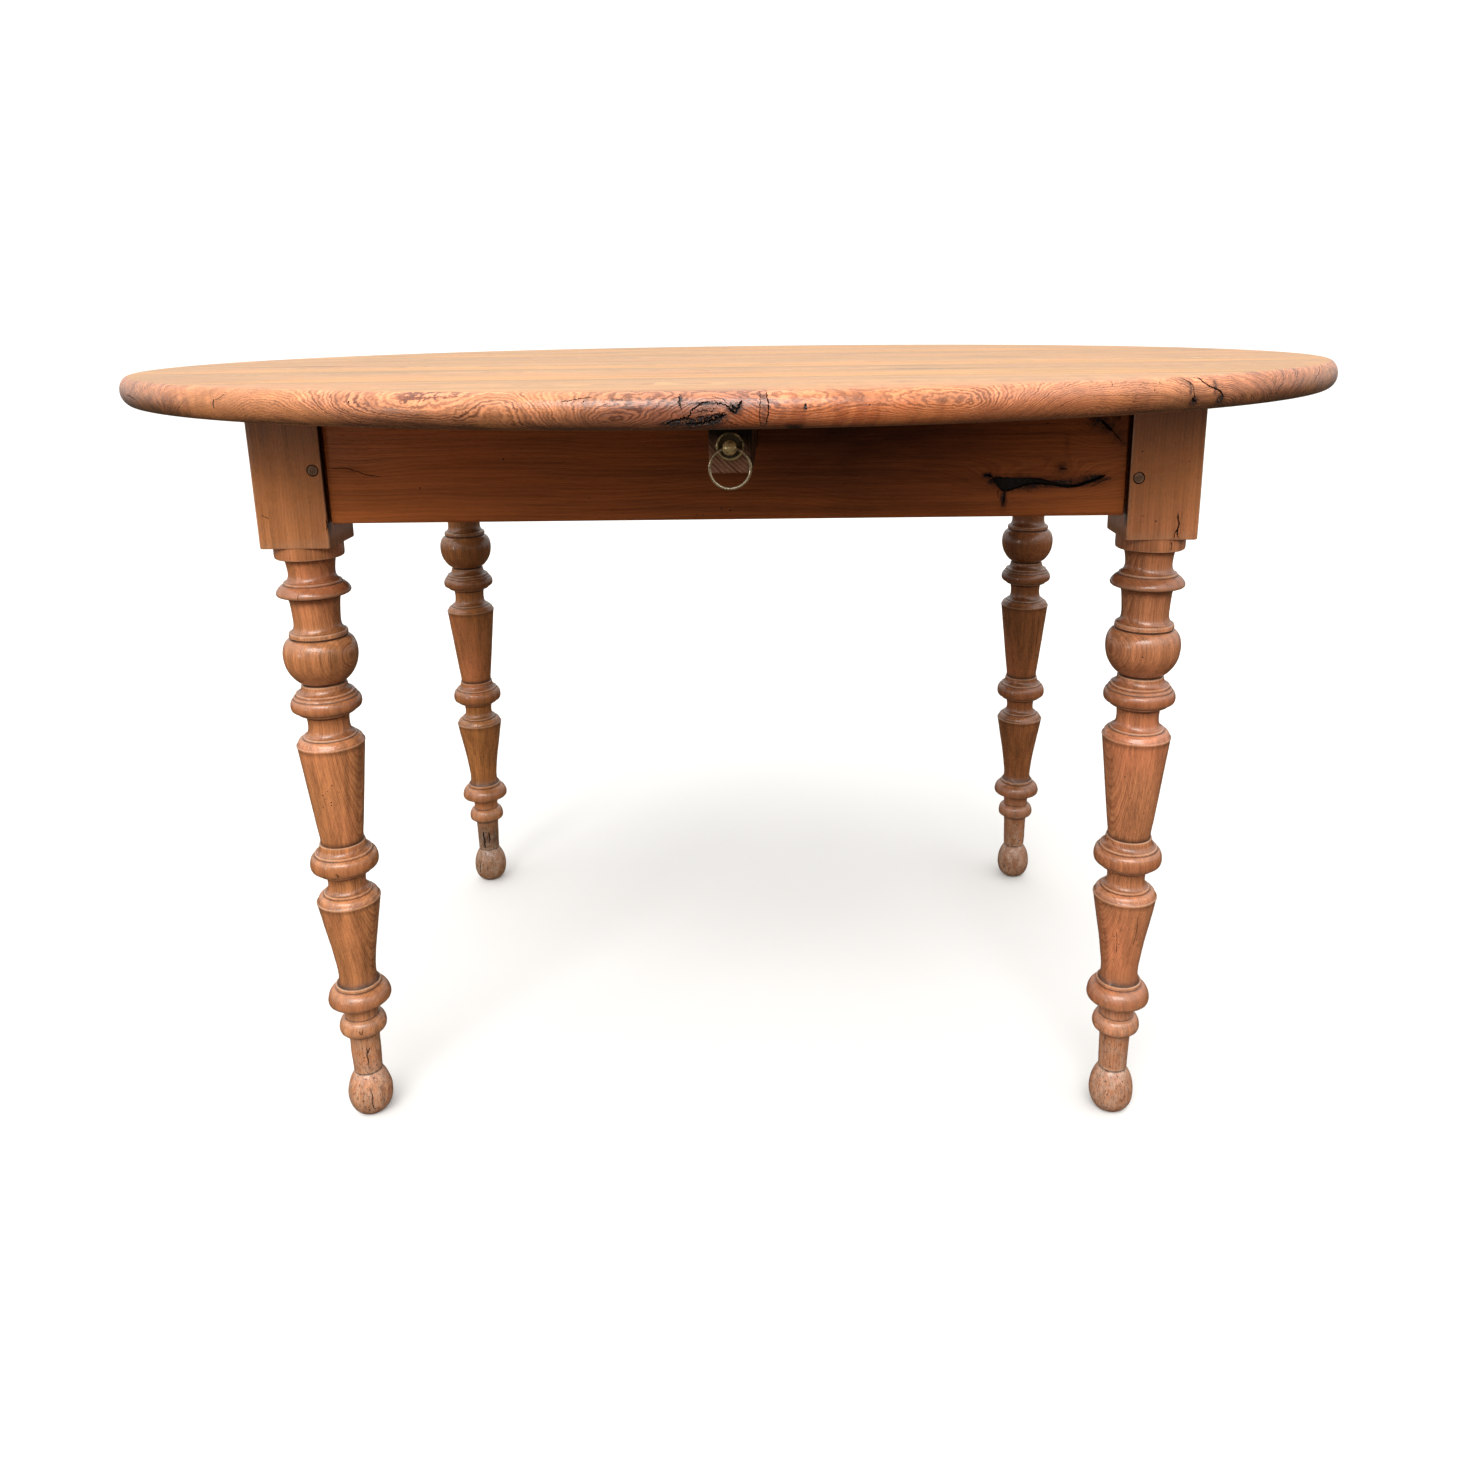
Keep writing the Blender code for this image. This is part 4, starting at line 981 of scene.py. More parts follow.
def make_top():
    # (pith y, pith z), ring width, seed, lean of the log along the board
    logs = (((-0.512, 0.668), 0.0031, 1.0, 0.016), ((-0.300, 0.610), 0.0034, 2.0, -0.010), ((-0.150, 0.655), 0.0036, 3.0, 0.012),
            ((0.085, 0.600), 0.0033, 4.0, -0.014), ((0.255, 0.650), 0.0035, 5.0, 0.010), ((0.480, 0.640), 0.0032, 6.0, -0.012))
    front_knots = (((-0.0575, -0.592, 0.731), (0.026, 0.020, 0.009), 0.0130), ((0.160, -0.575, 0.738), (0.050, 0.030, 0.016), 0.0190),
                   ((-0.215, -0.557, 0.738), (0.060, 0.030, 0.016), 0.0090), ((0.008, -0.597, 0.738), (0.024, 0.016, 0.012), -0.0100),
                   ((-0.125, -0.583, 0.742), (0.030, 0.020, 0.014), -0.0120), ((0.080, -0.592, 0.742), (0.030, 0.020, 0.018), 0.0030),
                   ((0.245, -0.545, 0.736), (0.034, 0.026, 0.014), -0.0120), ((-0.300, -0.516, 0.756), (0.090, 0.040, 0.026), -0.0070),
                   ((0.335, -0.495, 0.740), (0.026, 0.024, 0.014), 0.0100), ((-0.350, -0.484, 0.740), (0.040, 0.026, 0.014), 0.0050))
    front_dark = (((0.003, -0.597, 0.7355), (0.013, 0.012, 0.0045), 0.75), ((0.039, -0.596, 0.737), (0.0030, 0.012, 0.016), 0.22),
                  ((-0.018, -0.597, 0.730), (0.008, 0.012, 0.0030), 0.7), ((0.021, -0.597, 0.739), (0.005, 0.012, 0.0045), 0.6),
                  ((0.058, -0.594, 0.7265), (0.006, 0.010, 0.0022), 0.9), ((0.334, -0.495, 0.7325), (0.004, 0.005, 0.0030), 0.8),
                  ((0.357, -0.478, 0.7325), (0.004, 0.005, 0.0032), 0.8), ((0.090, -0.593, 0.737), (0.003, 0.010, 0.011), 0.28),
                  ((0.073, -0.594, 0.737), (0.002, 0.010, 0.010), 0.22), ((0.110, -0.590, 0.737), (0.003, 0.010, 0.011), 0.22),
                  ((-0.022, -0.597, 0.741), (0.026, 0.012, 0.009), 0.30), ((-0.070, -0.593, 0.736), (0.034, 0.012, 0.010), 0.26),
                  ((0.030, -0.597, 0.743), (0.010, 0.012, 0.010), 0.26), ((0.000, -0.597, 0.738), (0.012, 0.012, 0.005), 0.30),
                  ((0.128, -0.586, 0.737), (0.0025, 0.010, 0.011), 0.24), ((0.150, -0.580, 0.737), (0.0030, 0.010, 0.010), 0.20),
                  ((-0.180, -0.570, 0.730), (0.060, 0.020, 0.006), 0.24), ((0.300, -0.516, 0.735), (0.050, 0.040, 0.008), 0.16))
    front_crust = (((-0.0040, -0.5965, 0.7308), (0.0100, 0.012, 0.0040), 0.92), ((0.0060, -0.5965, 0.7322), (0.0100, 0.012, 0.0042), 0.96),
                   ((0.0128, -0.5965, 0.7345), (0.0056, 0.012, 0.0030), 0.80), ((-0.0165, -0.5965, 0.7306), (0.0085, 0.012, 0.0028), 0.86),
                   ((0.0215, -0.5965, 0.7392), (0.0056, 0.012, 0.0044), 0.82), ((0.0390, -0.5955, 0.7370), (0.0034, 0.012, 0.0140), 0.34),
                   ((0.004, -0.5965, 0.7425), (0.0135, 0.012, 0.0018), 0.66), ((0.0580, -0.5940, 0.7268), (0.0062, 0.012, 0.0024), 0.90),
                   ((-0.0115, -0.5965, 0.7440), (0.0018, 0.012, 0.0050), 0.60), ((0.004, -0.5965, 0.7385), (0.0100, 0.012, 0.0034), 0.48),
                   ((0.0645, -0.5935, 0.7396), (0.0011, 0.012, 0.0024), 0.80), ((-0.0500, -0.5945, 0.7450), (0.0080, 0.012, 0.0012), 0.50),
                   ((0.3340, -0.4950, 0.7325), (0.0042, 0.006, 0.0034), 0.90), ((0.3575, -0.4780, 0.7325), (0.0042, 0.006, 0.0040), 0.90),
                   ((0.3300, -0.4965, 0.7420), (0.0020, 0.006, 0.0070), 0.56), ((0.3520, -0.4820, 0.7420), (0.0026, 0.006, 0.0070), 0.56))
    front_stains_and_sheen = (((-0.022, -0.597, 0.738), (0.046, 0.020, 0.012), 0.72, (0.200, 0.066, 0.040)), ((0.005, -0.597, 0.7385), (0.011, 0.020, 0.0032), 0.75, (0.50, 0.225, 0.145)),
                    ((0.026, -0.597, 0.744), (0.016, 0.020, 0.007), 0.60, (0.250, 0.110, 0.085)), ((0.030, -0.597, 0.733), (0.014, 0.020, 0.006), 0.60, (0.42, 0.115, 0.036)),
                    ((0.0390, -0.596, 0.738), (0.0016, 0.020, 0.012), 0.75, (0.235, 0.125, 0.095)), ((0.110, -0.586, 0.736), (0.080, 0.040, 0.013), 0.62, (0.52, 0.128, 0.038)),
                    ((-0.330, -0.497, 0.738), (0.060, 0.060, 0.012), 0.45, (0.420, 0.160, 0.070)), ((0.240, -0.546, 0.738), (0.080, 0.040, 0.012), 0.45, (0.430, 0.118, 0.044)),
                    # the last entry is a painted sheen, a pale pink band along the top of the rim on the right
                    ((0.255, -0.539, 0.746), (0.085, 0.060, 0.0055), 0.28, (0.640, 0.330, 0.225)))
    figure = (((0.095, -0.589, 0.732), (0.058, 0.060, 0.014), 0.42), ((0.300, -0.515, 0.738), (0.090, 0.080, 0.020), 0.08),
              ((-0.380, -0.460, 0.738), (0.070, 0.080, 0.020), 0.10))
    spots = {0: front_dark,
             2: (((-0.421, -0.092, 0.750), (0.034, 0.008, 0.02), 0.60), ((0.284, -0.040, 0.750), (0.030, 0.007, 0.02), 0.55),
                 ((-0.120, -0.150, 0.750), (0.090, 0.006, 0.02), 0.35)),
             3: (((0.262, -0.026, 0.750), (0.014, 0.006, 0.02), 0.50), ((-0.250, 0.060, 0.750), (0.110, 0.007, 0.02), 0.32)),
             1: (((0.150, -0.330, 0.750), (0.080, 0.006, 0.02), 0.30),)}
    for i, (pith, ring, seed, lean) in enumerate(logs):
        tone = 1.0 + (0.05, -0.02, 0.03, -0.03, 0.02, -0.01)[i]
        mat = wood(f"top_board_{i + 1}_wood", "X", pith, ring, tuple(c * tone for c in EARLY_TOP),
                   tuple(c * tone for c in LATE_TOP), seed, lean=lean, warp=0.0075, reach=0.11, wander=0.0009, contrast=0.95,
                   streak=0.50, fibre=0.34, blotch=0.26, knots=front_knots if i == 0 else (), dark_spots_and_shade=spots.get(i, ()),
                   crust=front_crust if i == 0 else (), lines=0.55, pore=0.34, bands=0.50, band_size=0.050, stains_and_painted_light=front_stains_and_sheen if i == 0 else (),
                   edge=(TOP_R - 0.0088, TOP_R - 0.0055, tuple(c * tone for c in EARLY_RIM), tuple(c * tone for c in LATE_RIM), 0.00150),
                   rough=(0.26, 0.40), spec=0.52, blush=(0.46, 0.185, 0.060), flame=figure if i == 0 else (),
                   # painted shade: the far left of the two front boards is darkened where the low lamp lights the rim
                   painted_shading=(((-0.465, -0.375, 0.735), (0.080, 0.090, 0.017), -0.40),) if i < 2 else ())
        ob = board(i, mat)
        cuts = bmesh.new()
        n = 0
        limits = (-1.0,) + SEAMS + (1.0,)
        for _, x, y, _ in screw_places():
            if limits[i] < y < limits[i + 1]:
                add_rod(cuts, (x, y, UNDER - 0.005), (x, y, UNDER + SCREW_BITE + 0.0006), SCREW_R + GAP, 16)
                n += 1
        if n:
            carve(ob, [from_bmesh("screw_holes", cuts, None)])
        else:
            cuts.free()
        lines = RIM_CRACKS.get(i, ())
        if lines:
            shapes = []
            for k, (marks, width, depth) in enumerate(lines):
                pts, nor = rim_line(marks)
                shapes.append(crack(pts, nor, width, depth, 100 * i + k, BLACK, wander=0.00066 if i == 0 and k < 10 else 0.00042, gap=0.0007))
            for k, (kind, q, z, r) in enumerate(RIM_HOLES.get(i, ())):
                pts, nor = rim_line([(kind, q, z)])
                shapes.append(hole(pts[0], nor[0], r, 0.006, BLACK))
            carve(ob, shapes)
        shade(ob, 32)
        finish_piece(ob, "frame", "top_wood", f"top_board_{i + 1}")


def xz(*marks):
    return [("x", a, b) for a, b in marks]


def az(*marks):
    return [("a", a, b) for a, b in marks]


RIM_CRACKS = {
    0: (
        # the burl: split round an island of curly wood, open along its lower side
        (xz((-12.7, 748.4), (-11.7, 745.0), (-12.3, 742.7), (-11.4, 740.3), (-10.5, 738.4)), 0.0007, 0.0016),
        (xz((-9.0, 733.6), (-6.0, 735.4), (-4.6, 738.6), (-0.6, 740.9), (2.9, 743.3), (7.2, 743.0)), 0.0009, 0.0020),
        (xz((9.0, 744.2), (11.4, 742.2), (14.2, 741.8), (18.9, 739.6), (20.6, 737.6)), 0.0009, 0.0018),
        (xz((-21.5, 729.3), (-16.8, 731.8), (-12.9, 732.9), (-7.9, 733.7), (-3.4, 732.6)), 0.0017, 0.0026),
        (xz((-9.0, 730.8), (-4.4, 729.8), (1.0, 730.8), (6.2, 731.4), (11.4, 733.6), (16.8, 736.2)), 0.0028, 0.0032),
        (xz((-3.0, 733.4), (0.8, 734.4), (4.6, 733.8), (9.4, 735.8), (13.0, 736.0), (16.0, 738.0)), 0.0011, 0.0022),
        (xz((-1.6, 737.2), (2.6, 738.6), (6.0, 737.8), (10.6, 739.8)), 0.0006, 0.0014),
        (xz((8.0, 747.2), (10.4, 745.4), (13.6, 745.0), (16.8, 742.6)), 0.0005, 0.0012),
        (xz((17.2, 739.6), (19.9, 738.0), (22.0, 736.4), (23.6, 739.6), (25.9, 744.4)), 0.0015, 0.0026),
        (xz((19.2, 741.6), (22.4, 739.4), (24.4, 741.0)), 0.0016, 0.0020),
        # split across the edge to its right
        (xz((36.6, 749.2), (37.2, 745.8), (37.0, 740.8), (36.5, 736.0), (36.9, 730.6), (38.4, 727.2)), 0.0005, 0.0014),
        (xz((40.6, 749.4), (41.2, 746.0), (42.0, 742.2), (42.0, 737.7), (41.1, 732.8), (39.8, 727.4)), 0.0008, 0.0020),
        (xz((54.0, 727.2), (57.5, 726.7), (62.8, 727.0)), 0.0014, 0.0018),
        # two slanting splits towards the right
        (az((-57.0, 749.6), (-56.6, 747.2), (-56.15, 743.6), (-56.1, 738.7), (-55.85, 732.4)), 0.0010, 0.0022),
        (az((-56.25, 735.4), (-55.95, 733.4), (-55.7, 731.4)), 0.0022, 0.0024),
        (az((-55.4, 749.6), (-54.75, 744.0), (-53.6, 739.6), (-52.95, 735.2), (-52.9, 731.6)), 0.0013, 0.0026),
        (az((-53.35, 737.6), (-52.95, 734.8), (-53.2, 732.0)), 0.0024, 0.0026),
        (az((-63.2, 749.4), (-63.3, 746.2)), 0.0005, 0.0012),
        # a short check towards the left
        (az((-125.93, 742.2), (-125.98, 738.6), (-126.0, 734.8)), 0.0016, 0.0026),
        (az((-125.9, 740.9), (-125.1, 743.7), (-124.5, 747.6)), 0.0006, 0.0012),
        (az((-98.3, 743.8), (-97.4, 745.2), (-96.3, 746.8)), 0.0006, 0.0010),
    ),
    1: (
        (az((-34.7, 749.2), (-36.0, 745.4), (-37.8, 740.6), (-38.6, 735.6)), 0.0006, 0.0012),
        (az((-143.4, 739.0), (-141.8, 737.9), (-140.6, 736.6), (-139.4, 734.2)), 0.0007, 0.0014),
    ),
    4: ((az((38.0, 748.0), (38.6, 742.0), (38.2, 735.0)), 0.0006, 0.0014),),
    5: (
        (az((97.0, 748.6), (97.6, 743.0), (97.2, 736.0), (96.6, 730.0)), 0.0009, 0.0020),
        (az((61.0, 747.6), (60.2, 743.0), (59.8, 737.0)), 0.0007, 0.0016),
        (az((121.0, 745.0), (122.0, 741.0), (122.6, 735.0)), 0.0008, 0.0018),
    ),
}
RIM_HOLES = {
    0: (("x", 64.5, 740.6, 0.0006), ("x", 64.9, 738.4, 0.0005), ("a", -59.85, 742.2, 0.0006), ("a", -59.2, 746.6, 0.0006),
        ("a", -61.5, 737.2, 0.0005), ("a", -112.7, 743.1, 0.0007), ("x", 104.0, 740.0, 0.0005), ("x", -71.0, 744.0, 0.0005)),
    1: (("a", -135.5, 745.6, 0.0006), ("a", -139.4, 741.0, 0.0005), ("a", -42.0, 741.0, 0.0005)),
    5: (("a", 80.0, 741.0, 0.0006), ("a", 104.0, 736.0, 0.0006)),
}


# ------------------------------------------------------------------- the legs
def leg_curves():
    """The turning, block to floor, as smooth runs that meet at crisp edges: (radius, height) in mm."""
    return [
        # collar: short drum with a flat underside
        [(30.6, 599), (30.6, 594), (30.5, 589.2), (30.2, 587.6)],
        [(30.2, 587.6), (29.2, 586.9), (26.0, 586.6), (23.0, 586.0)],
        # neck that flares to a fillet
        [(23.0, 586.0), (22.0, 583.2), (21.2, 578.5), (20.7, 573.0), (21.0, 569.4), (22.2, 566.6), (24.0, 564.8)],
        [(24.0, 564.8), (25.6, 564.3)],
        [(25.6, 564.3), (26.0, 562.4)],
        # first disc: sloping shoulder, thin lip, flat underside
        [(26.0, 562.4), (27.8, 561.6), (30.0, 559.8), (31.8, 557.6), (32.9, 555.4), (33.0, 553.8), (32.3, 552.6), (30.8, 551.9)],
        [(30.8, 551.9), (27.6, 551.5), (24.4, 550.6)],
        # long neck and two fillets
        [(24.4, 550.6), (22.8, 547.2), (22.0, 541.5), (21.4, 533.5), (21.1, 526.0), (21.5, 522.0), (22.8, 519.0), (24.4, 517.4)],
        [(24.4, 517.4), (26.0, 517.0)],
        [(26.0, 517.0), (26.5, 515.2), (26.5, 513.2)],
        [(26.5, 513.2), (25.7, 512.6), (25.7, 511.4)],
        [(25.7, 511.4), (27.2, 510.8), (28.8, 509.8)],
        # bulb
        [(28.8, 509.8), (30.9, 507.2), (32.5, 503.4), (33.5, 498.0), (33.5, 493.0), (32.8, 487.6), (31.4, 482.6), (29.2, 478.0),
         (26.4, 473.9), (23.4, 470.6), (21.0, 468.8)],
        [(21.0, 468.8), (19.7, 468.1), (19.5, 466.6)],
        [(19.5, 466.6), (20.9, 466.0)],
        # stepped shoulder and second disc
        [(20.9, 466.0), (21.1, 463.6), (21.9, 461.2), (23.4, 459.4), (24.6, 458.7)],
        [(24.6, 458.7), (26.6, 458.3)],
        [(26.6, 458.3), (27.0, 456.4)],
        [(27.0, 456.4), (28.0, 455.6), (28.9, 454.8)],
        [(28.9, 454.8), (29.3, 453.2)],
        [(29.3, 453.2), (30.8, 452.0), (31.9, 449.6), (32.4, 446.8), (32.2, 444.2), (31.2, 442.0), (29.4, 440.8)],
        [(29.4, 440.8), (27.0, 440.4)],
        [(27.0, 440.4), (26.8, 438.6), (25.4, 437.6)],
        [(25.4, 437.6), (22.0, 437.0), (19.9, 435.0)],
        # neck, fillet and the shoulder of the upper taper
        [(19.9, 435.0), (19.2, 430.0), (19.1, 424.8), (19.6, 420.6), (21.0, 417.4), (22.8, 415.8)],
        [(22.8, 415.8), (24.4, 415.4)],
        [(24.4, 415.4), (24.9, 413.8)],
        [(24.9, 413.8), (27.0, 413.2), (28.7, 411.8), (29.8, 409.8), (30.5, 408.2), (31.4, 407.2)],
        [(31.4, 407.2), (31.5, 406.3), (31.0, 405.3)],
        [(31.0, 405.3), (30.4, 399.8), (27.3, 372.0), (24.4, 346.0), (21.7, 322.0), (20.3, 311.0), (19.9, 306.4), (20.1, 304.4)],
        [(20.1, 304.4), (21.4, 303.9)],
        [(21.4, 303.9), (21.7, 301.8)],
        # cove, steps and third disc
        [(21.7, 301.8), (22.0, 299.4), (23.2, 296.9), (25.0, 295.3)],
        [(25.0, 295.3), (26.8, 294.9)],
        [(26.8, 294.9), (27.3, 293.0)],
        [(27.3, 293.0), (28.6, 292.2)],
        [(28.6, 292.2), (30.3, 290.4), (31.5, 287.0), (32.0, 283.0), (31.7, 279.9), (30.7, 277.6), (28.9, 276.2)],
        [(28.9, 276.2), (26.4, 275.8)],
        [(26.4, 275.8), (26.0, 273.8), (24.6, 272.8)],
        [(24.6, 272.8), (21.0, 272.0), (18.9, 269.8)],
        # neck and the shoulder of the lower taper
        [(18.9, 269.8), (18.1, 265.2), (17.8, 260.4), (18.3, 256.8), (19.5, 254.2), (21.0, 252.8)],
        [(21.0, 252.8), (22.6, 252.4)],
        [(22.6, 252.4), (23.1, 250.5)],
        [(23.1, 250.5), (25.6, 249.7), (27.4, 248.1), (28.5, 245.9), (29.2, 244.1), (30.3, 243.1)],
        [(30.3, 243.1), (30.4, 242.1), (29.9, 241.1)],
        [(29.9, 241.1), (28.6, 233.0), (25.0, 212.0), (21.4, 191.0), (19.0, 173.0), (18.0, 163.0), (18.0, 157.4), (18.8, 153.2), (20.2, 150.8)],
        [(20.2, 150.8), (21.7, 150.3)],
        [(21.7, 150.3), (22.1, 148.0)],
        [(22.1, 148.0), (21.5, 147.4), (22.6, 146.6)],
        # fourth disc
        [(22.6, 146.6), (25.2, 145.4), (27.7, 142.8), (29.4, 139.4), (30.3, 135.8), (30.3, 132.8), (29.4, 130.6), (27.6, 129.4)],
        [(27.6, 129.4), (23.6, 128.8), (19.4, 127.8), (17.0, 125.8)],
        [(17.0, 125.8), (16.3, 121.0), (16.1, 116.0), (16.3, 112.4)],
        # fifth disc
        [(16.3, 112.4), (18.2, 112.2), (20.4, 110.6), (22.1, 107.4), (23.1, 103.2), (23.0, 99.6), (22.1, 97.0), (20.4, 95.6)],
        [(20.4, 95.6), (17.4, 95.0), (15.5, 93.4)],
        # ankle
        [(15.5, 93.4), (15.0, 86.0), (14.7, 74.0), (14.3, 60.0), (14.1, 52.6), (14.1, 50.6)],
        [(14.1, 50.6), (13.4, 49.8), (13.4, 48.4)],
        [(13.4, 48.4), (14.3, 47.6)],
        # ball foot
        [(14.3, 47.6), (16.2, 44.6), (18.4, 40.2), (20.3, 34.6), (21.6, 28.2), (21.9, 22.4), (21.3, 15.8), (19.2, 9.2), (15.5, 4.0),
         (11.4, 1.2), (8.2, 0.2), (7.0, 0.0)],
    ]


def around():
    """Angles round a leg: even along the block's flats, close together at its corners."""
    edge = math.degrees(math.atan2(HALF - 0.0018, HALF))
    flat = np.linspace(-edge, edge, 19)
    corner = np.linspace(edge, 90 - edge, 5)[1:-1]
    one = np.concatenate([flat, corner])
    return np.radians(np.concatenate([one + 90 * q for q in range(4)]))


def square_radius(ang, half, c):
    """Distance from the axis to a square with rounded corners, at each angle."""
    a, b = np.abs(np.cos(ang)), np.abs(np.sin(ang))
    flat = half / np.maximum(a, b)
    m = half - c
    k = m * (a + b)
    corner = k + np.sqrt(np.maximum(k * k - 2 * m * m + c * c, 0))
    on_flat = flat * np.minimum(a, b) <= m
    return np.where(on_flat, flat, corner)


def make_leg(corner, mat, seed):
    sx, sy = CORNERS[corner]
    name = LEG_NAME[corner]
    ang = around()
    k = len(ang)
    rng = np.random.default_rng(seed)
    rows, tags = [], []                       # radius per angle with height; tags stays empty
    ease = 0.0013
    for z, inset in ((FRAME_TOP, ease), (FRAME_TOP - 0.3 * ease, 0.3 * ease), (FRAME_TOP - ease, 0.0)):
        rows.append((square_radius(ang, HALF - inset, 0.0018), z))
    for z in np.linspace(FRAME_TOP - 0.010, BLOCK_Z + 0.010, 12):
        rows.append((square_radius(ang, HALF, 0.0018), z))
    for z, inset in ((BLOCK_Z + ease, 0.0), (BLOCK_Z + 0.3 * ease, 0.3 * ease), (BLOCK_Z, ease)):
        rows.append((square_radius(ang, HALF - inset, 0.0018), z))
    block_rows = len(rows)
    prof = []
    for run in leg_curves():
        long = abs(run[0][1] - run[-1][1])
        gap = 5.0 if long > 60 else (2.6 if long > 28 and run[0][0] < 20 else 1.25)
        pts = through(run, gap)
        prof.append(pts if not prof else pts[1:])
    prof = np.vstack(prof)
    arc = np.concatenate([[0], np.cumsum(np.linalg.norm(np.diff(prof, axis=0), axis=1))])

    def smoothed(width):
        fine = np.arange(0, arc[-1], 0.1)
        r = np.interp(fine, arc, prof[:, 0])
        z = np.interp(fine, arc, prof[:, 1])
        kern = np.hanning(int(width / 0.1) | 1)
        kern /= kern.sum()
        pad = len(kern) // 2
        rs = np.convolve(np.pad(r, pad, mode="edge"), kern, mode="valid")
        zs = np.convolve(np.pad(z, pad, mode="edge"), kern, mode="valid")
        # signed distance to the smoothed line, outwards positive
        tr, tz = np.gradient(r), np.gradient(z)
        ln = np.hypot(tr, tz) + 1e-9
        nr, nz = -tz / ln, tr / ln
        return np.interp(arc, fine, (r - rs) * nr + (z - zs) * nz)
    tight, loose = smoothed(4.0), smoothed(16.0)
    # pale wear on the rounds; dirt and painted shade in the coves and under the discs
    wear_p = 0.85 * np.clip(tight / 0.34, 0, 1) ** 1.4 + 0.22 * np.clip((loose - 0.6) / 2.2, 0, 1)
    hollow_dark_p = np.clip(-tight / 0.24, 0, 1) + 0.90 * np.clip((-loose - 0.4) / 1.8, 0, 1)
    # every leg differs a little from its neighbour, as hand turning does
    wob = np.interp(prof[:, 1], np.linspace(0, 620, 9), rng.uniform(-0.35, 0.35, 9))
    ends = step(prof[:, 1], 599, 588) * step(prof[:, 1], 0, 12)
    if corner == "fr":
        wob = wob - 3.0 * np.exp(-((prof[:, 1] - 116) / 34) ** 2)
    for (r, z), w, e in zip(prof, wob, ends):
        rows.append((np.full(k, (r + np.clip(w, -0.35, 0.35) * 0.5 * e) / 1000), (z + w * e) / 1000))
    verts = np.zeros((len(rows) * k, 3))
    wear, grime_and_shade, painted_gap_shade = np.zeros(len(verts)), np.zeros(len(verts)), np.zeros(len(verts))
    ca, sa = np.cos(ang), np.sin(ang)
    for j, (r, z) in enumerate(rows):
        s = slice(j * k, (j + 1) * k)
        verts[s, 0], verts[s, 1], verts[s, 2] = r * ca, r * sa, z
        if j >= block_rows:
            wear[s], grime_and_shade[s] = wear_p[j - block_rows], hollow_dark_p[j - block_rows]
        else:
            # eased arrises of the block rub pale; the block darkens towards its top under the table top, dirt and
            # painted shade
            edge = np.clip(1 - np.abs(np.abs(ca) - np.abs(sa)) / 0.045, 0, 1)
            wear[s] = edge * 0.55 if z < FRAME_TOP - 0.004 else 0.0
            if z < BLOCK_Z + 0.002:
                wear[s] = np.maximum(wear[s], 0.25)
            grime_and_shade[s] = 0.25 * step(z, 0.66, 0.7257)
            # painted shade, near black, in the corner where an apron meets the block
            lx, ly = r * ca * sx, r * sa * sy
            seam = ((lx < 0.0005 - HALF) & (ly > HALF - 0.0085)) | ((ly < 0.0005 - HALF) & (lx > HALF - 0.0085))
            if z > APRON_Z - 0.002:
                painted_gap_shade[s] = np.where(seam, 1.0, 0.0)
                wear[s] = np.where(seam, 0.0, wear[s])
    # knocks on the lips and a foot that has been dragged about
    world = verts + np.array([sx * LEG_X, sy * LEG_Y, 0])
    radial = np.stack([np.tile(ca, len(rows)), np.tile(sa, len(rows)), np.zeros(len(verts))], 1)
    turned_part = (verts[:, 2] < BLOCK_Z - 0.004)
    low = 1 - step(verts[:, 2], 0.06, 0.30)
    lumps = bumps(world, 0.012, seed) - 0.5
    dents = step(bumps(world, 0.0075, seed + 7), 0.70, 0.93)
    shift = turned_part * (lumps * (0.00022 + 0.00050 * low) - dents * np.clip(wear, 0, 1) * (0.0005 + 0.0007 * low))
    shift *= step(verts[:, 2], 0.0, 0.010)
    verts += radial * shift[:, None]
    planed = (~turned_part) & (verts[:, 2] > BLOCK_Z + 0.004) & (verts[:, 2] < FRAME_TOP - 0.004)
    verts += radial * (planed * (bumps(world, 0.045, seed + 3) - 0.5) * 0.00035)[:, None]
    verts += np.array([sx * LEG_X, sy * LEG_Y, 0])
    faces = []
    for j in range(len(rows) - 1):
        for i in range(k):
            n = (i + 1) % k
            faces.append((j * k + i, (j + 1) * k + i, (j + 1) * k + n, j * k + n))
    faces.append(tuple(range(k)))
    faces.append(tuple((len(rows) - 1) * k + i for i in range(k - 1, -1, -1)))
    ob = solid("visual_" + name, verts, faces, mat)
    store(ob, "wear", np.clip(wear, 0, 1))
    store(ob, "grime_and_shade", np.clip(grime_and_shade, 0, 1))
    store(ob, "painted_gap_shade", painted_gap_shade)
    x, y = sx * LEG_X, sy * LEG_Y
    inner_x, inner_y = x - sx * HALF, y - sy * HALF
    cuts = []
    bm = add_box(bmesh.new(), (inner_x - sx * 0.005, sy * TENON_Y - TENON_T / 2 - GAP, TENON_Z0 - GAP),
                 (inner_x + sx * (TENON_L + 0.0005), sy * TENON_Y + TENON_T / 2 + GAP, TENON_Z1 + GAP))
    cuts.append(from_bmesh("mortise_a", bm, None))
    bm = add_box(bmesh.new(), (sx * TENON_X - TENON_T / 2 - GAP, inner_y - sy * 0.005, TENON_Z0 - GAP),
                 (sx * TENON_X + TENON_T / 2 + GAP, inner_y + sy * (TENON_L + 0.0005), TENON_Z1 + GAP))
    cuts.append(from_bmesh("mortise_b", bm, None))
    for a, b in peg_ends(corner):
        d = (Vector(a) - Vector(b)).normalized()
        bm = add_rod(bmesh.new(), Vector(a) + d * 0.004, Vector(b) - d * 0.0004, PEG_R + GAP, 20)
        cuts.append(from_bmesh("peg_hole", bm, BLACK))
    carve(ob, cuts)
    marks = []
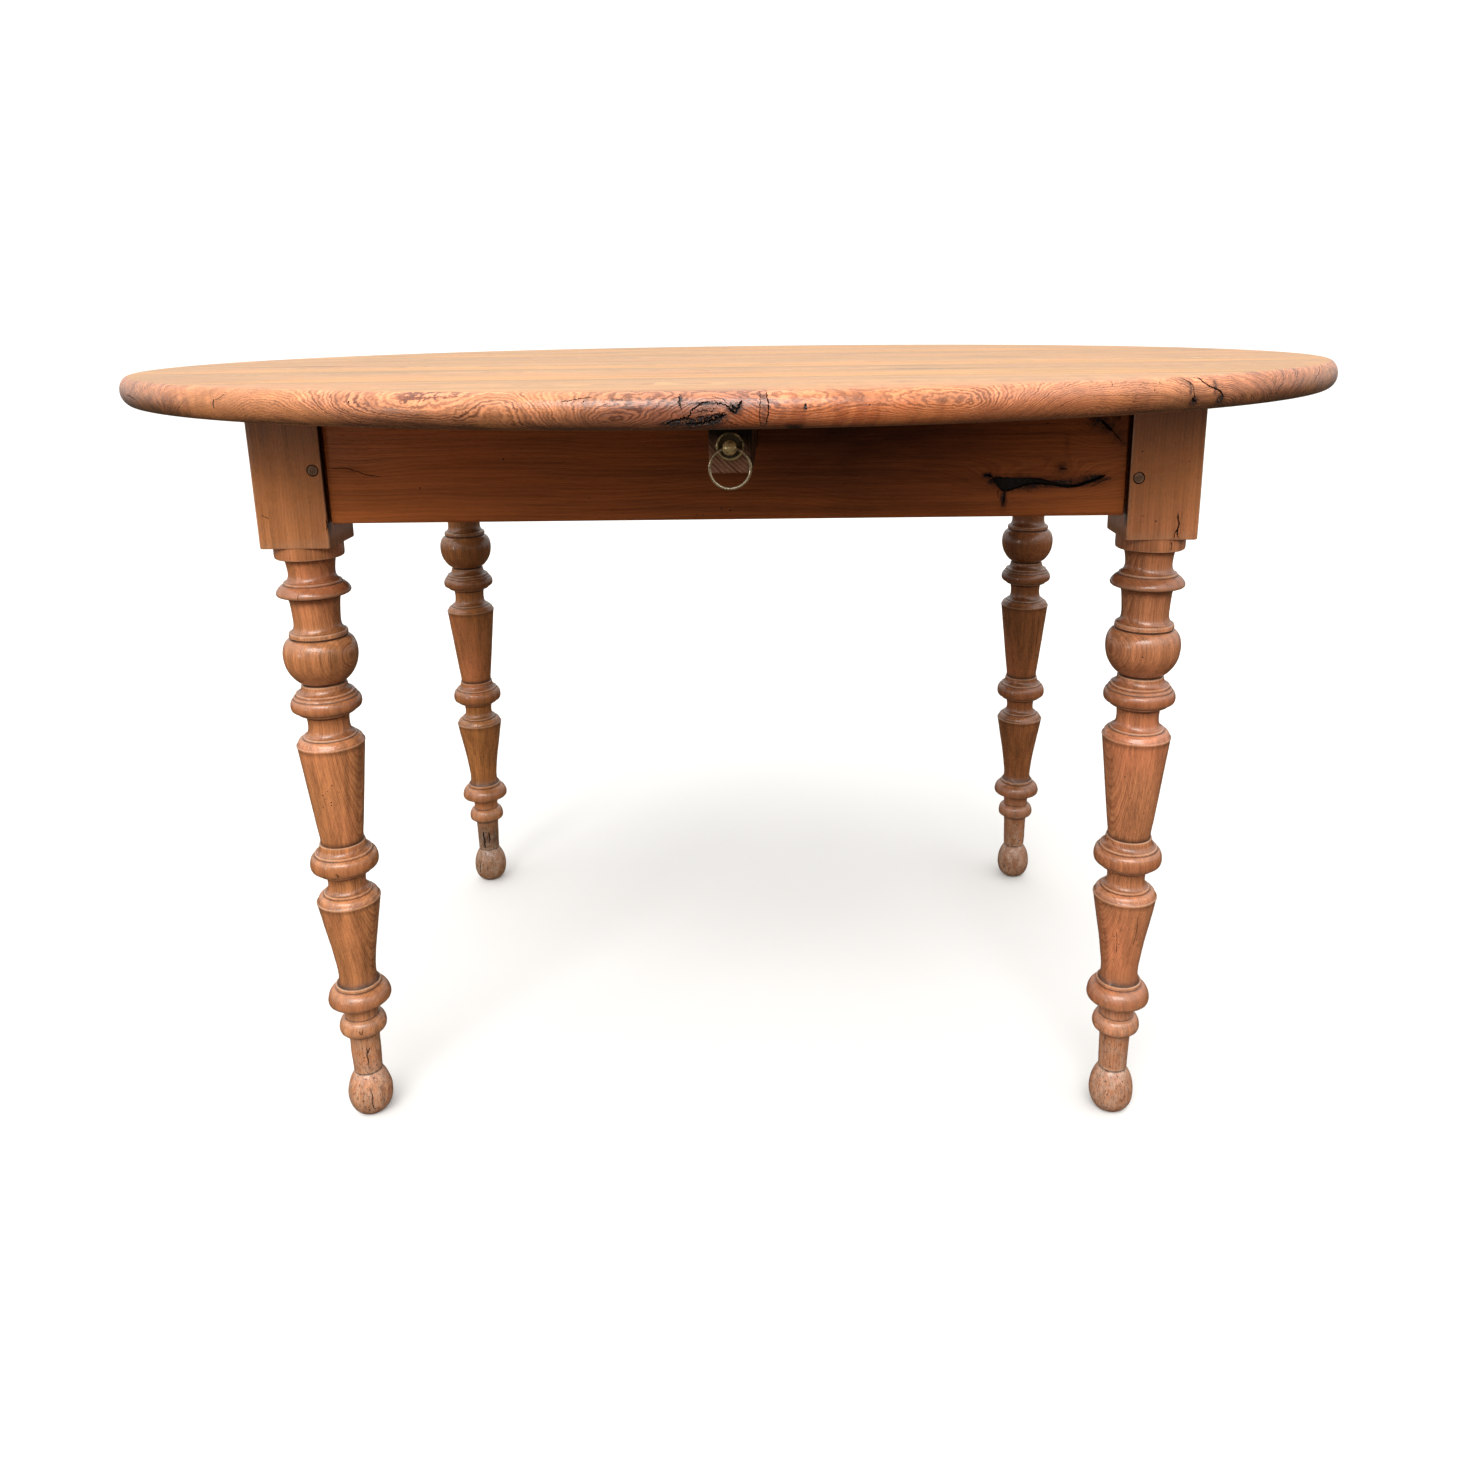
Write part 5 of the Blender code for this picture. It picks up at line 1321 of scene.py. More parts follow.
    for n, (pts, nor, width, depth) in enumerate(leg_cracks(corner)):
        marks.append(crack(pts, nor, width, depth, 900 + 20 * seed + n, BLACK))
    for at, nor, r in leg_holes(corner):
        marks.append(hole(at, nor, r, 0.005, BLACK))
    if marks:
        carve(ob, marks)
    shade(ob, 33)
    return finish_piece(ob, "frame", "leg_wood", name)


LEG_LINE = []


def leg_radius(z_mm):
    if not LEG_LINE:
        prof = np.vstack([through(run, 0.5) for run in leg_curves()])
        LEG_LINE.append(prof[np.argsort(prof[:, 1])])
    return float(np.interp(z_mm, LEG_LINE[0][:, 1], LEG_LINE[0][:, 0])) / 1000


def on_leg(corner, angle, z_mm):
    """Point and normal on the turned part; angle 0 faces -Y, and positive turns to +X."""
    sx, sy = CORNERS[corner]
    a = math.radians(angle - 90)
    r = leg_radius(z_mm)
    n = Vector((math.cos(a), math.sin(a), 0))
    return Vector((sx * LEG_X, sy * LEG_Y, z_mm / 1000)) + n * r, n


def leg_cracks(corner):
    def turned_line(*marks):
        pts, nor = zip(*(on_leg(corner, a, z) for a, z in marks))
        return list(pts), list(nor)

    def front_face(*marks):
        y = -LEG_Y - HALF
        return [Vector((a / 1000, y, b / 1000)) for a, b in marks], [Vector((0, -1, 0))] * len(marks)
    out = []
    if corner == "fl":
        out.append((*turned_line((22, 82), (24, 76), (21, 71), (25, 66), (23, 60)), 0.0011, 0.0030))
        out.append((*turned_line((36, 80), (31, 78), (26, 74)), 0.0013, 0.0020))
        out.append((*turned_line((20, 36), (24, 28), (22, 20), (26, 11)), 0.0008, 0.0024))
        out.append((*turned_line((10, 106), (14, 101.5), (18, 106.4)), 0.0008, 0.0018))
        out.append((*turned_line((4, 283), (9, 281), (6, 278.6)), 0.0012, 0.0014))
        out.append((*turned_line((-3, 558.5), (-4, 554.4), (-3, 550.6)), 0.0006, 0.0012))
        out.append((*front_face((-409.5, 630.4), (-406.6, 628.4), (-402.6, 626.8)), 0.0006, 0.0012))
        out.append((*front_face((-352.8, 625.2), (-352.0, 621.0), (-353.0, 615.4)), 0.0009, 0.0018))
    if corner == "fr":
        out.append((*front_face((395.4, 624.0), (395.7, 619.8), (397.0, 613.7), (396.1, 606.4), (397.6, 600.4)), 0.0013, 0.0030))
        out.append((*front_face((396.6, 610.4), (394.4, 605.4), (393.6, 600.6)), 0.0009, 0.0020))
        out.append((*turned_line((17, 597.6), (19, 594.0), (18, 589.4)), 0.0010, 0.0020))
        out.append((*front_face((366.4, 621.2), (364.0, 620.2)), 0.0007, 0.0010))
        out.append((*turned_line((-30, 214), (-27, 200), (-29, 186)), 0.0006, 0.0014))
        out.append((*turned_line((12, 232), (15, 216), (13, 196)), 0.0006, 0.0012))
    if corner == "rl":
        out.append((*turned_line((-10, 80), (-14, 73), (-9, 66), (-12, 58), (-8, 52)), 0.0022, 0.0034))
        out.append((*turned_line((16, 78), (20, 70), (15, 60)), 0.0015, 0.0026))
        out.append((*turned_line((-34, 36), (-30, 27), (-33, 16)), 0.0010, 0.0024))
        out.append((*turned_line((160, 84), (165, 72), (158, 58)), 0.0010, 0.0024))
    if corner == "rr":
        out.append((*turned_line((30, 396), (33, 372), (31, 350)), 0.0006, 0.0014))
        out.append((*turned_line((188, 38), (192, 27), (189, 16)), 0.0008, 0.0022))
    return out


def leg_holes(corner):
    spots = {"fl": ((14, 372, .6), (4, 366, .5), (-8, 362, .6), (-2, 358, .5), (8, 354, .7), (7, 351, .6), (-12, 349, .5), (26, 364, .5),
                    (-16, 578, .5), (-11, 575, .4), (12, 70, .6), (18, 62, .6), (-18, 74, .5), (6, 66, .5)),
             "fr": ((-20, 352, .5), (14, 336, .5), (-34, 206, .6), (-22, 198, .6), (-28, 190, .6), (-12, 182, .5), (20, 204, .5), (26, 196, .5),
                    (-6, 222, .5), (-36, 178, .5), (8, 186, .5), (-20, 214, .5)),
             "rl": ((-20, 84, .7), (4, 78, .7), (10, 70, .8), (-4, 62, .7), (24, 66, .7), (-26, 58, .7), (0, 54, .7), (-16, 30, .7), (12, 24, .7),
                    (178, 70, .6), (190, 62, .6)),
             "rr": ((-20, 376, .5), (10, 360, .5), (2, 200, .5), (170, 380, .5))}
    out = [(*on_leg(corner, a, z), r / 1000) for a, z, r in spots[corner]]
    if corner == "fr":
        y = -LEG_Y - HALF
        for a, b, r in ((376.7, 616.0, 0.7), (383.5, 640.0, 0.4), (402.0, 668.0, 0.4)):
            out.append((Vector((a / 1000, y, b / 1000)), Vector((0, -1, 0)), r / 1000))
    return out


def peg_ends(corner):
    sx, sy = CORNERS[corner]
    za, zb = PEG_Z[corner]
    xa, yb = sx * (LEG_X - HALF + PEG_IN), sy * (LEG_Y - HALF + PEG_IN)
    face_y, face_x = sy * (LEG_Y + HALF), sx * (LEG_X + HALF)
    return (((xa, face_y + sy * PEG_PROUD, za), (xa, face_y - sy * PEG_L, za)),
            ((face_x + sx * PEG_PROUD, yb, zb), (face_x - sx * PEG_L, yb, zb)))


def make_legs():
    """Four legs from different billets: pith off to one side of each."""
    piths = {"fl": (-0.090, 0.020), "fr": (0.085, 0.030), "rl": (-0.080, -0.045), "rr": (0.085, -0.040)}
    hues = {"fl": (1.0, 1.0, 1.0), "fr": (1.0, 0.97, 1.12), "rl": (1.0, 0.97, 0.80), "rr": (1.0, 0.90, 0.80)}
    tones = {"fl": 1.0, "fr": 0.98, "rl": 0.98, "rr": 0.66}
    for n, corner in enumerate(CORNERS):
        sx, sy = CORNERS[corner]
        px, py = piths[corner]
        k = tones[corner]
        dark = ()
        if corner == "rl":
            dark = (((-LEG_X, LEG_Y - 0.012, 0.066), (0.026, 0.03, 0.024), 0.85), ((-LEG_X, LEG_Y - 0.02, 0.024), (0.03, 0.02, 0.018), 0.45))
        if corner == "fl":
            dark = (((-LEG_X - 0.0305, -LEG_Y - HALF, 0.641), (0.0035, 0.004, 0.0055), 0.55),)
        # the discs and the foot of the bulb are coloured a darker red-brown; the block is coloured redder and brighter,
        # painted light against the shade under the top
        deep = {"fl": 0.50, "fr": 0.62, "rl": 0.40, "rr": 0.30}[corner]
        disc_tones_and_block_light = tuple(((sx * LEG_X, sy * LEG_Y, z), (0.2, 0.2, tall), deep * share, tuple(c * k for c in (0.235, 0.066, 0.021)))
                      for z, tall, share in ((0.556, 0.009, 0.9), (0.477, 0.012, 0.6), (0.446, 0.012, 1.0), (0.283, 0.010, 0.7), (0.137, 0.010, 0.8)))
        # painted light: a brighter, redder colour over the block, against the shade under the top
        disc_tones_and_block_light += (((sx * LEG_X, sy * LEG_Y, 0.665), (0.2, 0.2, 0.052), 0.62, tuple(c * k for c in (0.660, 0.232, 0.066))),)
        mat = wood(f"{LEG_NAME[corner]}_wood", "Z", (sx * LEG_X + px, sy * LEG_Y + py), 0.0026,
                   tuple(c * k * h for c, h in zip(EARLY_LEG, hues[corner])), tuple(c * k * h for c, h in zip(LATE_LEG, hues[corner])), 11.0 + n,
                   warp=0.0026, reach=0.15, coat=0.40, coat_rough=0.14,
                   wander=0.0007, contrast=1.0, streak=0.66, fibre=0.54, blotch=0.30, scuff=0.17, rough=(0.20, 0.36), spec=0.5, lines=0.5, pore=0.34,
                   dark_spots_and_shade=dark, dirt=(0.058, 0.022, 0.010), bands=0.16, holes={"fr": 0.05, "rl": 0.06}.get(corner, 0.0),
                   worn=(0.72, 0.46, 0.300), stains_and_painted_light=disc_tones_and_block_light)
        make_leg(corner, mat, 31 + n)
        # draw-bore pegs: whittled, so not quite round, and a touch proud
        for which, (a, b) in zip(("long", "side"), peg_ends(corner)):
            axis = "Y" if which == "long" else "X"
            peg_mat = PEG_MAT[axis]
            make_peg(f"peg_{LEG_NAME[corner][4:]}_{which}", Vector(a), Vector(b), PEG_R, peg_mat, 60 + 2 * n + (which == "side"),
                     "frame", "peg_wood")


def make_peg(node, a, b, r, mat, seed, body, slot, dome=0.0004):
    rng = np.random.default_rng(seed)
    d = (a - b).normalized()
    rot = Vector((0, 0, 1)).rotation_difference(d).to_matrix()
    k, sides = 40, 9
    ang = np.linspace(0, 2 * math.pi, k, endpoint=False)
    turn = rng.uniform(0, 6.28)
    facet = np.abs(((ang - turn) * sides / (2 * math.pi)) % 1 - 0.5) * 2
    radius = r * (1 - 0.035 * (1 - facet ** 2)) * (1 - 0.012 * rng.uniform(0, 1, k))
    length = (a - b).length
    rows = [(0.40, length), (0.72, length - 0.12 * dome), (0.84, length - 0.5 * dome), (0.885, length - 1.6 * dome),
            (1.0, length - 0.0042), (1.0, length * 0.5), (1.0, 0.0006), (0.9, 0.0)]
    verts, faces = [], []
    for share, z in rows:
        verts += [rot @ Vector((radius[i] * share * math.cos(ang[i]), radius[i] * share * math.sin(ang[i]), z)) + b
                  for i in range(k)]
    for j in range(len(rows) - 1):
        for i in range(k):
            n = (i + 1) % k
            faces.append((j * k + i, (j + 1) * k + i, (j + 1) * k + n, j * k + n))
    faces.append(tuple(range(k)))
    faces.append(tuple((len(rows) - 1) * k + i for i in range(k)))
    ob = solid("visual_" + node, verts, faces, mat, 40)
    rub = np.array([0.0, 0.30, 0.85, 0.45, 0.0, 0.0, 0.0, 0.0])
    store(ob, "wear", np.repeat(rub, k) * np.tile(0.35 + 0.65 * (np.sin(ang * 2 + turn) > -0.3), len(rows)))
    return finish_piece(ob, body, slot, node)


# ----------------------------------------------------------------- the aprons
def loper_span(side):
    a = LOPER_MID + (LOPER_SEP / 2 if side == "front" else -LOPER_SEP / 2)
    b = a + (LOPER_W if side == "front" else -LOPER_W)
    return min(a, b), max(a, b)


def front_plane(u, v, d):
    return (u, -APRON_FY + d, v)


BARK_POCKET = ((233.2, 654.6), (238.8, 655.8), (246.5, 655.2), (255.5, 654.6), (265.6, 654.7), (275.9, 653.9), (283.7, 651.6),
               (291.4, 649.8), (299.2, 648.3), (306.8, 648.6), (316.8, 651.9), (326.8, 655.4), (332.6, 657.0), (331.2, 655.0),
               (324.5, 651.4), (317.0, 648.6), (309.5, 646.3), (300.6, 645.1), (292.9, 646.2), (285.1, 647.8), (276.1, 648.7),
               (268.5, 648.8), (262.1, 647.4), (255.8, 645.3), (250.8, 643.9), (247.2, 642.4), (242.0, 643.4), (237.8, 648.1),
               (234.6, 651.5))


def make_aprons():
    reach_x, reach_y = LEG_X - HALF + TENON_L, LEG_Y - HALF + TENON_L
    logs = {"front": ((-0.325, 0.560), 0.0036, 21.0), "rear": ((0.330, 0.585), 0.0034, 22.0),
            "left": ((-0.455, 0.590), 0.0035, 23.0), "right": ((0.450, 0.600), 0.0036, 24.0)}
    for side in ("front", "rear", "left", "right"):
        pith, ring, seed = logs[side]
        axis = "X" if side in ("front", "rear") else "Y"
        knots, dark, crust, painted_shading = (), (), (), ()
        if side == "front":
            y = -APRON_FY
            crust = (((0.258, y, 0.6495), (0.022, 0.01, 0.0062), 0.86), ((0.292, y, 0.6490), (0.026, 0.01, 0.0042), 0.80),
                     ((0.322, y, 0.6530), (0.014, 0.01, 0.0040), 0.78), ((0.2442, y, 0.6370), (0.0030, 0.01, 0.0090), 0.80),
                     ((0.2295, y, 0.6570), (0.0050, 0.01, 0.0026), 0.85), ((0.2945, y, 0.6625), (0.0055, 0.01, 0.0050), 0.42),
                     ((0.3240, y, 0.7040), (0.0110, 0.01, 0.0080), 0.66), ((0.3320, y, 0.6970), (0.0085, 0.01, 0.0060), 0.56),
                     ((0.3400, y, 0.6895), (0.0080, 0.01, 0.0060), 0.42), ((0.3460, y, 0.6830), (0.0060, 0.01, 0.0050), 0.38), ((0.3400, y, 0.7060), (0.0060, 0.01, 0.0060), 0.45),
                     ((0.2360, y, 0.6520), (0.0080, 0.01, 0.0050), 0.74))
            knots = (((0.272, y, 0.650), (0.066, 0.02, 0.017), 0.022), ((0.331, y, 0.697), (0.022, 0.02, 0.016), 0.016),
                     ((-0.330, y, 0.669), (0.050, 0.02, 0.010), 0.006), ((0.294, y, 0.664), (0.010, 0.02, 0.007), 0.006),
                     ((0.155, y, 0.640), (0.070, 0.02, 0.020), 0.007))
            dark = (((0.294, y, 0.6635), (0.008, 0.01, 0.0065), 0.50), ((0.330, y, 0.701), (0.018, 0.01, 0.0110), 0.60),
                    ((0.343, y, 0.688), (0.0120, 0.01, 0.0100), 0.45), ((0.297, y, 0.684), (0.0025, 0.01, 0.009), 0.25),
                    ((0.229, y, 0.657), (0.0045, 0.01, 0.0025), 0.85), ((0.268, y, 0.6515), (0.040, 0.01, 0.0062), 0.62),
                    ((0.318, y, 0.651), (0.020, 0.01, 0.0055), 0.55), ((0.244, y, 0.637), (0.0035, 0.01, 0.010), 0.55),
                    ((-0.329, y, 0.669), (0.012, 0.01, 0.0040), 0.32), ((0.2, y, 0.655), (0.035, 0.01, 0.004), 0.22),
                    # painted shade: the last entry darkens the middle of the front apron right of the pull, under the
                    # overhang of the top
                    ((0.120, y, 0.700), (0.130, 0.02, 0.060), 0.80))
            # painted light: both ends of the front apron are brightened, where the top's overhang shades them less
            painted_shading = (((-0.300, y, 0.660), (0.130, 0.02, 0.080), 0.42), ((0.310, y, 0.640), (0.060, 0.02, 0.050), 0.40))
        mat = wood(f"apron_{side}_wood", axis, pith, ring, EARLY_APRON, LATE_APRON, seed, warp=0.0075, reach=0.17, wander=0.0010,
                   contrast=0.84, streak=0.50, fibre=0.42, blotch=0.38, blush=(0.320, 0.080, 0.019), knots=knots, dark_spots_and_shade=dark,
                   crust=crust, painted_shading=painted_shading, spot_tone=(0.052, 0.008, 0.001), bands=0.20, lines=0.4, pore=0.22, rough=(0.32, 0.48), spec=0.22, dirt=(0.045, 0.018, 0.009), worn=(0.40, 0.19, 0.085), holes=0.03)
        if side in ("front", "rear"):
            sy = -1 if side == "front" else 1
            out_y, in_y = sy * APRON_FY, sy * (APRON_FY - APRON_T)
            end = LEG_X - HALF - SHOULDER
            bm = soft_box(bmesh.new(), (-end, min(out_y, in_y), APRON_Z), (end, max(out_y, in_y), FRAME_TOP), 0.0016)
            ob = from_bmesh(f"visual_apron_{side}", bm, mat)
            tenon = add_box(bmesh.new(), (-reach_x, sy * TENON_Y - TENON_T / 2, TENON_Z0),
                            (reach_x, sy * TENON_Y + TENON_T / 2, TENON_Z1))
            carve(ob, [from_bmesh("tenons", tenon, mat)], "UNION")
            lo, hi = loper_span(side)
            cuts = [from_bmesh("notch", add_box(bmesh.new(), (lo - 0.0005, sy * (APRON_FY + 0.01), LOPER_Z0 - 0.0006),
                                                (hi + 0.0005, sy * (APRON_FY - APRON_T - 0.01), FRAME_TOP + 0.01)), mat)]
            for x, s in BUTTONS.values():
                if s == sy:
                    cuts.append(from_bmesh("slot", add_box(
                        bmesh.new(), (x - BUTTON_W / 2 - 0.002, in_y - sy * 0.01, FRAME_TOP - BUTTON_H - 0.0005),
                        (x + BUTTON_W / 2 + 0.002, in_y + sy * (TONGUE_L + 0.0015), FRAME_TOP - BUTTON_H + TONGUE_H + 0.0005)), mat))
            pegs = [peg_ends(c)[0] for c in (("fl", "fr") if side == "front" else ("rl", "rr"))]
        else:
            sx = -1 if side == "left" else 1
            out_x, in_x = sx * APRON_SX, sx * (APRON_SX - APRON_T)
            end = LEG_Y - HALF - SHOULDER
            bm = soft_box(bmesh.new(), (min(out_x, in_x), -end, APRON_Z), (max(out_x, in_x), end, FRAME_TOP), 0.0016)
            ob = from_bmesh(f"visual_apron_{side}", bm, mat)
            tenon = add_box(bmesh.new(), (sx * TENON_X - TENON_T / 2, -reach_y, TENON_Z0),
                            (sx * TENON_X + TENON_T / 2, reach_y, TENON_Z1))
            carve(ob, [from_bmesh("tenons", tenon, mat)], "UNION")
            y = SIDE_BUTTON_Y[side]
            cuts = [from_bmesh("slot", add_box(
                bmesh.new(), (in_x - sx * 0.01, y - BUTTON_W / 2 - 0.002, FRAME_TOP - BUTTON_H - 0.0005),
                (in_x + sx * (TONGUE_L + 0.0015), y + BUTTON_W / 2 + 0.002, FRAME_TOP - BUTTON_H + TONGUE_H + 0.0005)), mat)]
            z1 = LOPER_Z0 - 0.0007
            cuts.append(from_bmesh("rail_mortise", add_box(
                bmesh.new(), (in_x - sx * 0.01, -RAIL_W / 2 + 0.006 - GAP, z1 - RAIL_H + 0.004 - GAP),
                (in_x + sx * (RAIL_TENON + 0.0005), RAIL_W / 2 - 0.006 + GAP, z1 - 0.004 + GAP)), mat))
            pegs = [peg_ends(c)[1] for c in (("fl", "rl") if side == "left" else ("fr", "rr"))]
        for a, b in pegs:
            d = (Vector(a) - Vector(b)).normalized()
            cuts.append(from_bmesh("peg_hole", add_rod(bmesh.new(), Vector(a) + d * 0.004, Vector(b) - d * 0.004, PEG_R + GAP, 20), mat))
        carve(ob, cuts)
        marks = apron_marks(side)
        if marks:
            carve(ob, marks)
        shade(ob, 30)
        finish_piece(ob, "frame", "apron_wood", f"apron_{side}")


def apron_marks(side):
    def line(*marks):
        if side in ("front", "rear"):
            sy = -1 if side == "front" else 1
            return [Vector((a / 1000, sy * APRON_FY, b / 1000)) for a, b in marks], [Vector((0, sy, 0))] * len(marks)
        sx = -1 if side == "left" else 1
        return [Vector((sx * APRON_SX, a / 1000, b / 1000)) for a, b in marks], [Vector((sx, 0, 0))] * len(marks)

    def spots(*marks):
        out = []
        for a, b, r in marks:
            (p,), (n,) = line((a, b))
            out.append(hole(p, n, r / 1000, 0.005, BLACK))
        return out
    if side == "front":
        shapes = [pocket([(a / 1000, b / 1000) for a, b in BARK_POCKET], front_plane, 0.0034, 5, BARK)]
        for n, (pts, width, depth) in enumerate((
                (((245.2, 645.0), (244.6, 640.0), (244.2, 634.6), (243.6, 629.6)), 0.0013, 0.0030),
                (((240.4, 646.0), (239.0, 641.6), (239.8, 637.4)), 0.0007, 0.0020),
                (((226.6, 657.4), (229.8, 657.2), (233.6, 655.6)), 0.0022, 0.0026),
                (((318.0, 645.8), (324.0, 648.2), (330.4, 651.6), (337.0, 653.4)), 0.0007, 0.0016),
                (((325.0, 703.4), (329.6, 700.0), (333.0, 696.2), (336.6, 694.0)), 0.0024, 0.0028),
                (((336.0, 694.2), (340.2, 689.2), (345.6, 683.8)), 0.0008, 0.0018),
                (((291.6, 661.6), (295.4, 662.4), (298.4, 661.4)), 0.0012, 0.0018),
                (((-348.6, 670.0), (-340.4, 669.2), (-332.1, 669.6), (-324.0, 667.1), (-314.0, 663.4), (-301.6, 661.7)), 0.0007, 0.0018))):
            p, q = line(*pts)
            shapes.append(crack(p, q, width, depth, 500 + n, BARK if width > 0.002 else BLACK))
        return shapes + spots((-3.6, 630.5, .7), (4.1, 628.6, .8), (-25.4, 625.0, .7), (-20.0, 624.4, .5), (-33.0, 632.0, .6),
                              (-120.0, 641.0, .6), (140.0, 690.0, .5))
    if side == "rear":
        shapes = []
        for n, (pts, width, depth) in enumerate(((((120, 655), (150, 656.5), (182, 654), (220, 655)), 0.0007, 0.0018),
                                                 (((-240, 690), (-232, 686), (-222, 687)), 0.0016, 0.0024))):
            p, q = line(*pts)
            shapes.append(crack(p, q, width, depth, 540 + n, BLACK))
        return shapes + spots((-180, 640, .6), (-172, 643, .6), (60, 632, .6), (260, 668, .6))
    shapes = []
    for n, (pts, width, depth) in enumerate(((((-120, 648), (-90, 649.5), (-55, 648), (-30, 648.8)), 0.0007, 0.0018),)):
        p, q = line(*pts)
        shapes.append(crack(p, q, width, depth, 560 + n + (side == "left"), BLACK))
    return shapes + spots((80, 640, .6), (88, 644, .6), (-150, 690, .6))


# ----------------------------------------------------------------- the lopers
def make_lopers():
    for side, sy in (("front", -1), ("rear", 1)):
        lo, hi = loper_span(side)
        mid = (lo + hi) / 2
        out_y, in_y = sy * LOPER_OUT, -sy * LOPER_IN
        body = f"loper_{side}"
        outer = hi if side == "front" else lo
        mat = wood(f"loper_{side}_wood", "Y", (mid + 0.115, 0.815) if side == "front" else (mid - 0.115, 0.810), 0.0027,
                   (0.600, 0.325, 0.215), (0.085, 0.034, 0.018), 41.0 + (sy > 0), warp=0.0012, reach=0.20, wander=0.0002, contrast=0.95,
                   streak=0.25, fibre=0.25, blotch=0.25, blush=(0.42, 0.205, 0.130), rough=(0.50, 0.66), spec=0.16, spot_tone=(0.010, 0.006, 0.004),
                   # painted shadow: the end is darkened nearly black towards its top, and so is the outer side face
                   # along its length; the bottom is darker too
                   dark_spots_and_shade=(((mid, out_y, 0.725), (0.04, 0.01, 0.022), 1.5), ((outer, sy * 0.38, 0.700), (0.0028, 0.30, 0.060), 0.85),
                               ((mid, sy * 0.30, LOPER_Z0), (0.05, 0.14, 0.004), 0.35)))
        bm = bmesh.new()
        add_box(bm, (lo, min(out_y, in_y), LOPER_Z0), (hi, max(out_y, in_y), LOPER_Z1))
        bmesh.ops.bevel(bm, geom=bm.edges[:], offset=0.0018, segments=4, profile=0.5, affect="EDGES")
        ob = from_bmesh("visual_loper_" + side, bm, mat)
        away = -1 if side == "rear" else 1
        face = hi if away > 0 else lo
        ys = -sy * STOP_Y
        a, b = Vector((face + away * STOP_PROUD, ys, STOP_Z)), Vector((face - away * 0.022, ys, STOP_Z))
        cuts = [from_bmesh("stop_hole", add_rod(bmesh.new(), a, b - Vector((away, 0, 0)) * 0.0004, STOP_R + GAP, 20), BLACK),
                from_bmesh("post_hole", add_rod(bmesh.new(), (mid, out_y + sy * 0.002, PULL_Z),
                                                (mid, out_y - sy * (POST_IN + 0.0005), PULL_Z), POST_R + GAP, 20), BLACK)]
        # saw and wear marks on the end, and a drying check
        n = Vector((0, sy, 0))
        line = [Vector((mid - 0.0135, out_y, 0.6995)), Vector((mid - 0.0075, out_y, 0.6945)), Vector((mid - 0.0030, out_y, 0.6885))]
        cuts.append(crack(line, [n] * 3, 0.0005, 0.0012, 701 + (sy > 0), BLACK, wander=0.0001))
        line = [Vector((mid + 0.0130, out_y, 0.7180)), Vector((mid + 0.0122, out_y, 0.7090)), Vector((mid + 0.0132, out_y, 0.7000))]
        cuts.append(crack(line, [n] * 3, 0.0006, 0.0016, 703 + (sy > 0), BLACK, wander=0.0001))
        carve(ob, cuts)
        shade(ob, 30)
        finish_piece(ob, body, "loper_wood", f"loper_{side}")
        make_peg(f"loper_stop_{side}", a, b, STOP_R, PEG_MAT["X"], 90 + (sy > 0), body, "peg_wood", dome=0.0008)
        make_pull(side, sy, mid, out_y, body)


